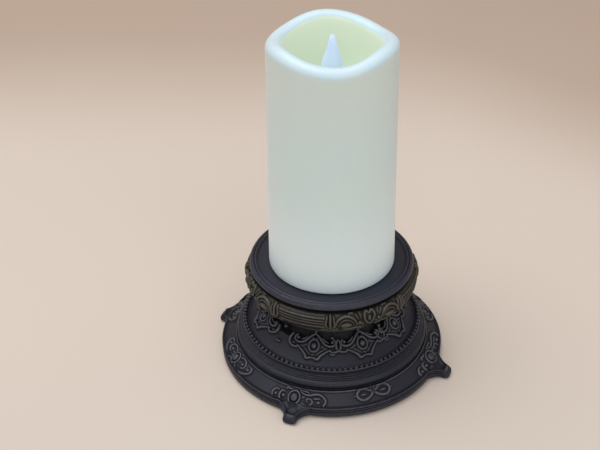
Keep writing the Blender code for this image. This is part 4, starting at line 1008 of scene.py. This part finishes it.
def screw_posts():
    """Round bosses with a blind bore from below, inside the shell, as one mesh."""
    verts, faces = [], []
    for azimuth, out, wide, bore, bottom, top in POSTS:
        middle = Vector((out * math.cos(math.radians(azimuth)), out * math.sin(math.radians(azimuth)), 0))
        rings = (
            (bore, bottom + BORE_DEPTH), (bore, bottom), (wide - POST_CHAMFER, bottom),
            (wide, bottom + POST_CHAMFER), (wide, top),
        )
        first = len(verts)
        for radius, z in rings:
            for step in range(POST_SIDES):
                turn = 2 * math.pi * step / POST_SIDES
                point = middle + Vector((radius * math.cos(turn), radius * math.sin(turn), z))
                verts.append(tuple(point * MM))
        for row in range(len(rings) - 1):
            for step in range(POST_SIDES):
                after = (step + 1) % POST_SIDES
                low = first + row * POST_SIDES
                high = low + POST_SIDES
                faces.append((low + step, high + step, high + after, low + after))
        last = first + (len(rings) - 1) * POST_SIDES
        faces.append([first + step for step in range(POST_SIDES)])
        faces.append([last + step for step in reversed(range(POST_SIDES))])
    mesh = bpy.data.meshes.new("screw_posts")
    mesh.from_pydata(verts, [], faces)
    mesh.shade_smooth()
    mesh.set_sharp_from_angle(angle=math.radians(40))
    return mesh


new_piece("screw_posts", screw_posts(), ivory_plastic, "candle")

# Setting.
# A pale matt tabletop that sweeps up into a backdrop, a large soft light over it, and the camera.


def sweep():
    """The table and the backdrop in one curved sheet."""
    rows = (
        (-2.5, 0.0), (-1.0, 0.0), (0.0, 0.0), (1.2, 0.0), (1.6, 0.03), (1.9, 0.12), (2.1, 0.3), (2.2, 0.6),
        (2.25, 2.6),
    )
    mesh = bpy.data.meshes.new("tabletop")
    verts = [(x, y, z) for y, z in rows for x in (-3.0, -1.0, 1.0, 3.0)]
    corners = [4 * row + column for row in range(len(rows) - 1) for column in range(3)]
    faces = [(low, low + 1, low + 5, low + 4) for low in corners]
    mesh.from_pydata(verts, [], faces)
    mesh.shade_smooth()
    return mesh


def table_finish():
    """Pale matt paint, with painted light and shade: lighter round the middle, warmer and darker towards the back
    and the far right.
    """
    look, tree, shader = new_look("pale tabletop", 0.75, Specular_IOR_Level=0.2)
    grain = place_group(tree, GRAIN, Grains=700.0, Cloudiness=0.004)
    place = add_node(tree, "TexCoord").outputs["Object"]
    split = add_node(tree, "SeparateXYZ", {0: place}).outputs
    across, depth = split["X"], split["Y"]
    # Painted light and shade: a pool of light round the middle, darker and warmer towards the back and the far
    # right.
    side = sums(tree, "MULTIPLY", ramp(tree, across, 0.05, 0.35), 0.17)
    near = blended(tree, ramp(tree, depth, -0.35, 0.05), (0.588, 0.510, 0.465), (0.668, 0.564, 0.480))
    colour = blended(tree, ramp(tree, sums(tree, "ADD", depth, side), 0.22, 0.50), near, (0.49, 0.37, 0.29))
    soft = sums(tree, "MULTIPLY", grain["Clouds"], 0.06)
    colour = blended(tree, soft, colour, (0.76, 0.66, 0.57))
    fine = sums(tree, "MULTIPLY", grain["Grain"], 0.05)
    tree.links.new(blended(tree, fine, colour, (0.4, 0.33, 0.28)), shader["Base Color"])
    bumped(tree, shader, grain["Grain"], 0.00008)
    return look


floor = bpy.data.objects.new("tabletop", sweep())
floor.data.materials.append(table_finish())
bpy.context.scene.collection.objects.link(floor)


def soft_light(name, place, aim, size, watts, tint=(1.0, 1.0, 1.0)):
    lamp = bpy.data.lights.new(name, "AREA")
    lamp.shape, lamp.size, lamp.energy, lamp.color = "DISK", size, watts, tint
    made = bpy.data.objects.new(name, lamp)
    made.location = place
    made.rotation_euler = (Vector(aim) - Vector(place)).to_track_quat("-Z", "Y").to_euler()
    bpy.context.scene.collection.objects.link(made)


soft_light("overhead", (-0.5, 0.1, 1.9), (0, 0, 0.05), 1.5, 22.0, (0.97, 0.99, 1.0))
soft_light("front_fill", (0.5, -1.7, 0.9), (0, 0, 0.1), 2.2, 11.5)
world = bpy.data.worlds.new("room")
world.use_nodes = True
world.node_tree.nodes["Background"].inputs["Color"].default_value = (0.93, 0.96, 1.0, 1.0)
world.node_tree.nodes["Background"].inputs["Strength"].default_value = 0.60
bpy.context.scene.world = world
bpy.context.scene.view_settings.view_transform = "Standard"

LOOK_DOWN = math.radians(34.26)
CAMERA_ROLL = math.radians(-0.94)
lens = bpy.data.cameras.new("camera")
lens.lens, lens.sensor_width = 66.2, 36.0
lens.clip_start, lens.clip_end = 0.01, 20.0
forward = Vector((0, math.cos(LOOK_DOWN), -math.sin(LOOK_DOWN)))
level_up = Vector((0, math.sin(LOOK_DOWN), math.cos(LOOK_DOWN)))
right = Vector((math.cos(CAMERA_ROLL), 0, 0)) + level_up * math.sin(CAMERA_ROLL)
upward = right.cross(forward)
camera = bpy.data.objects.new("camera", lens)
camera.matrix_world = Matrix.Translation((-0.0187, -0.5389, 0.4579)) @ Matrix(
    (right, upward, -forward)
).transposed().to_4x4()
bpy.context.scene.collection.objects.link(camera)
bpy.context.scene.camera = camera
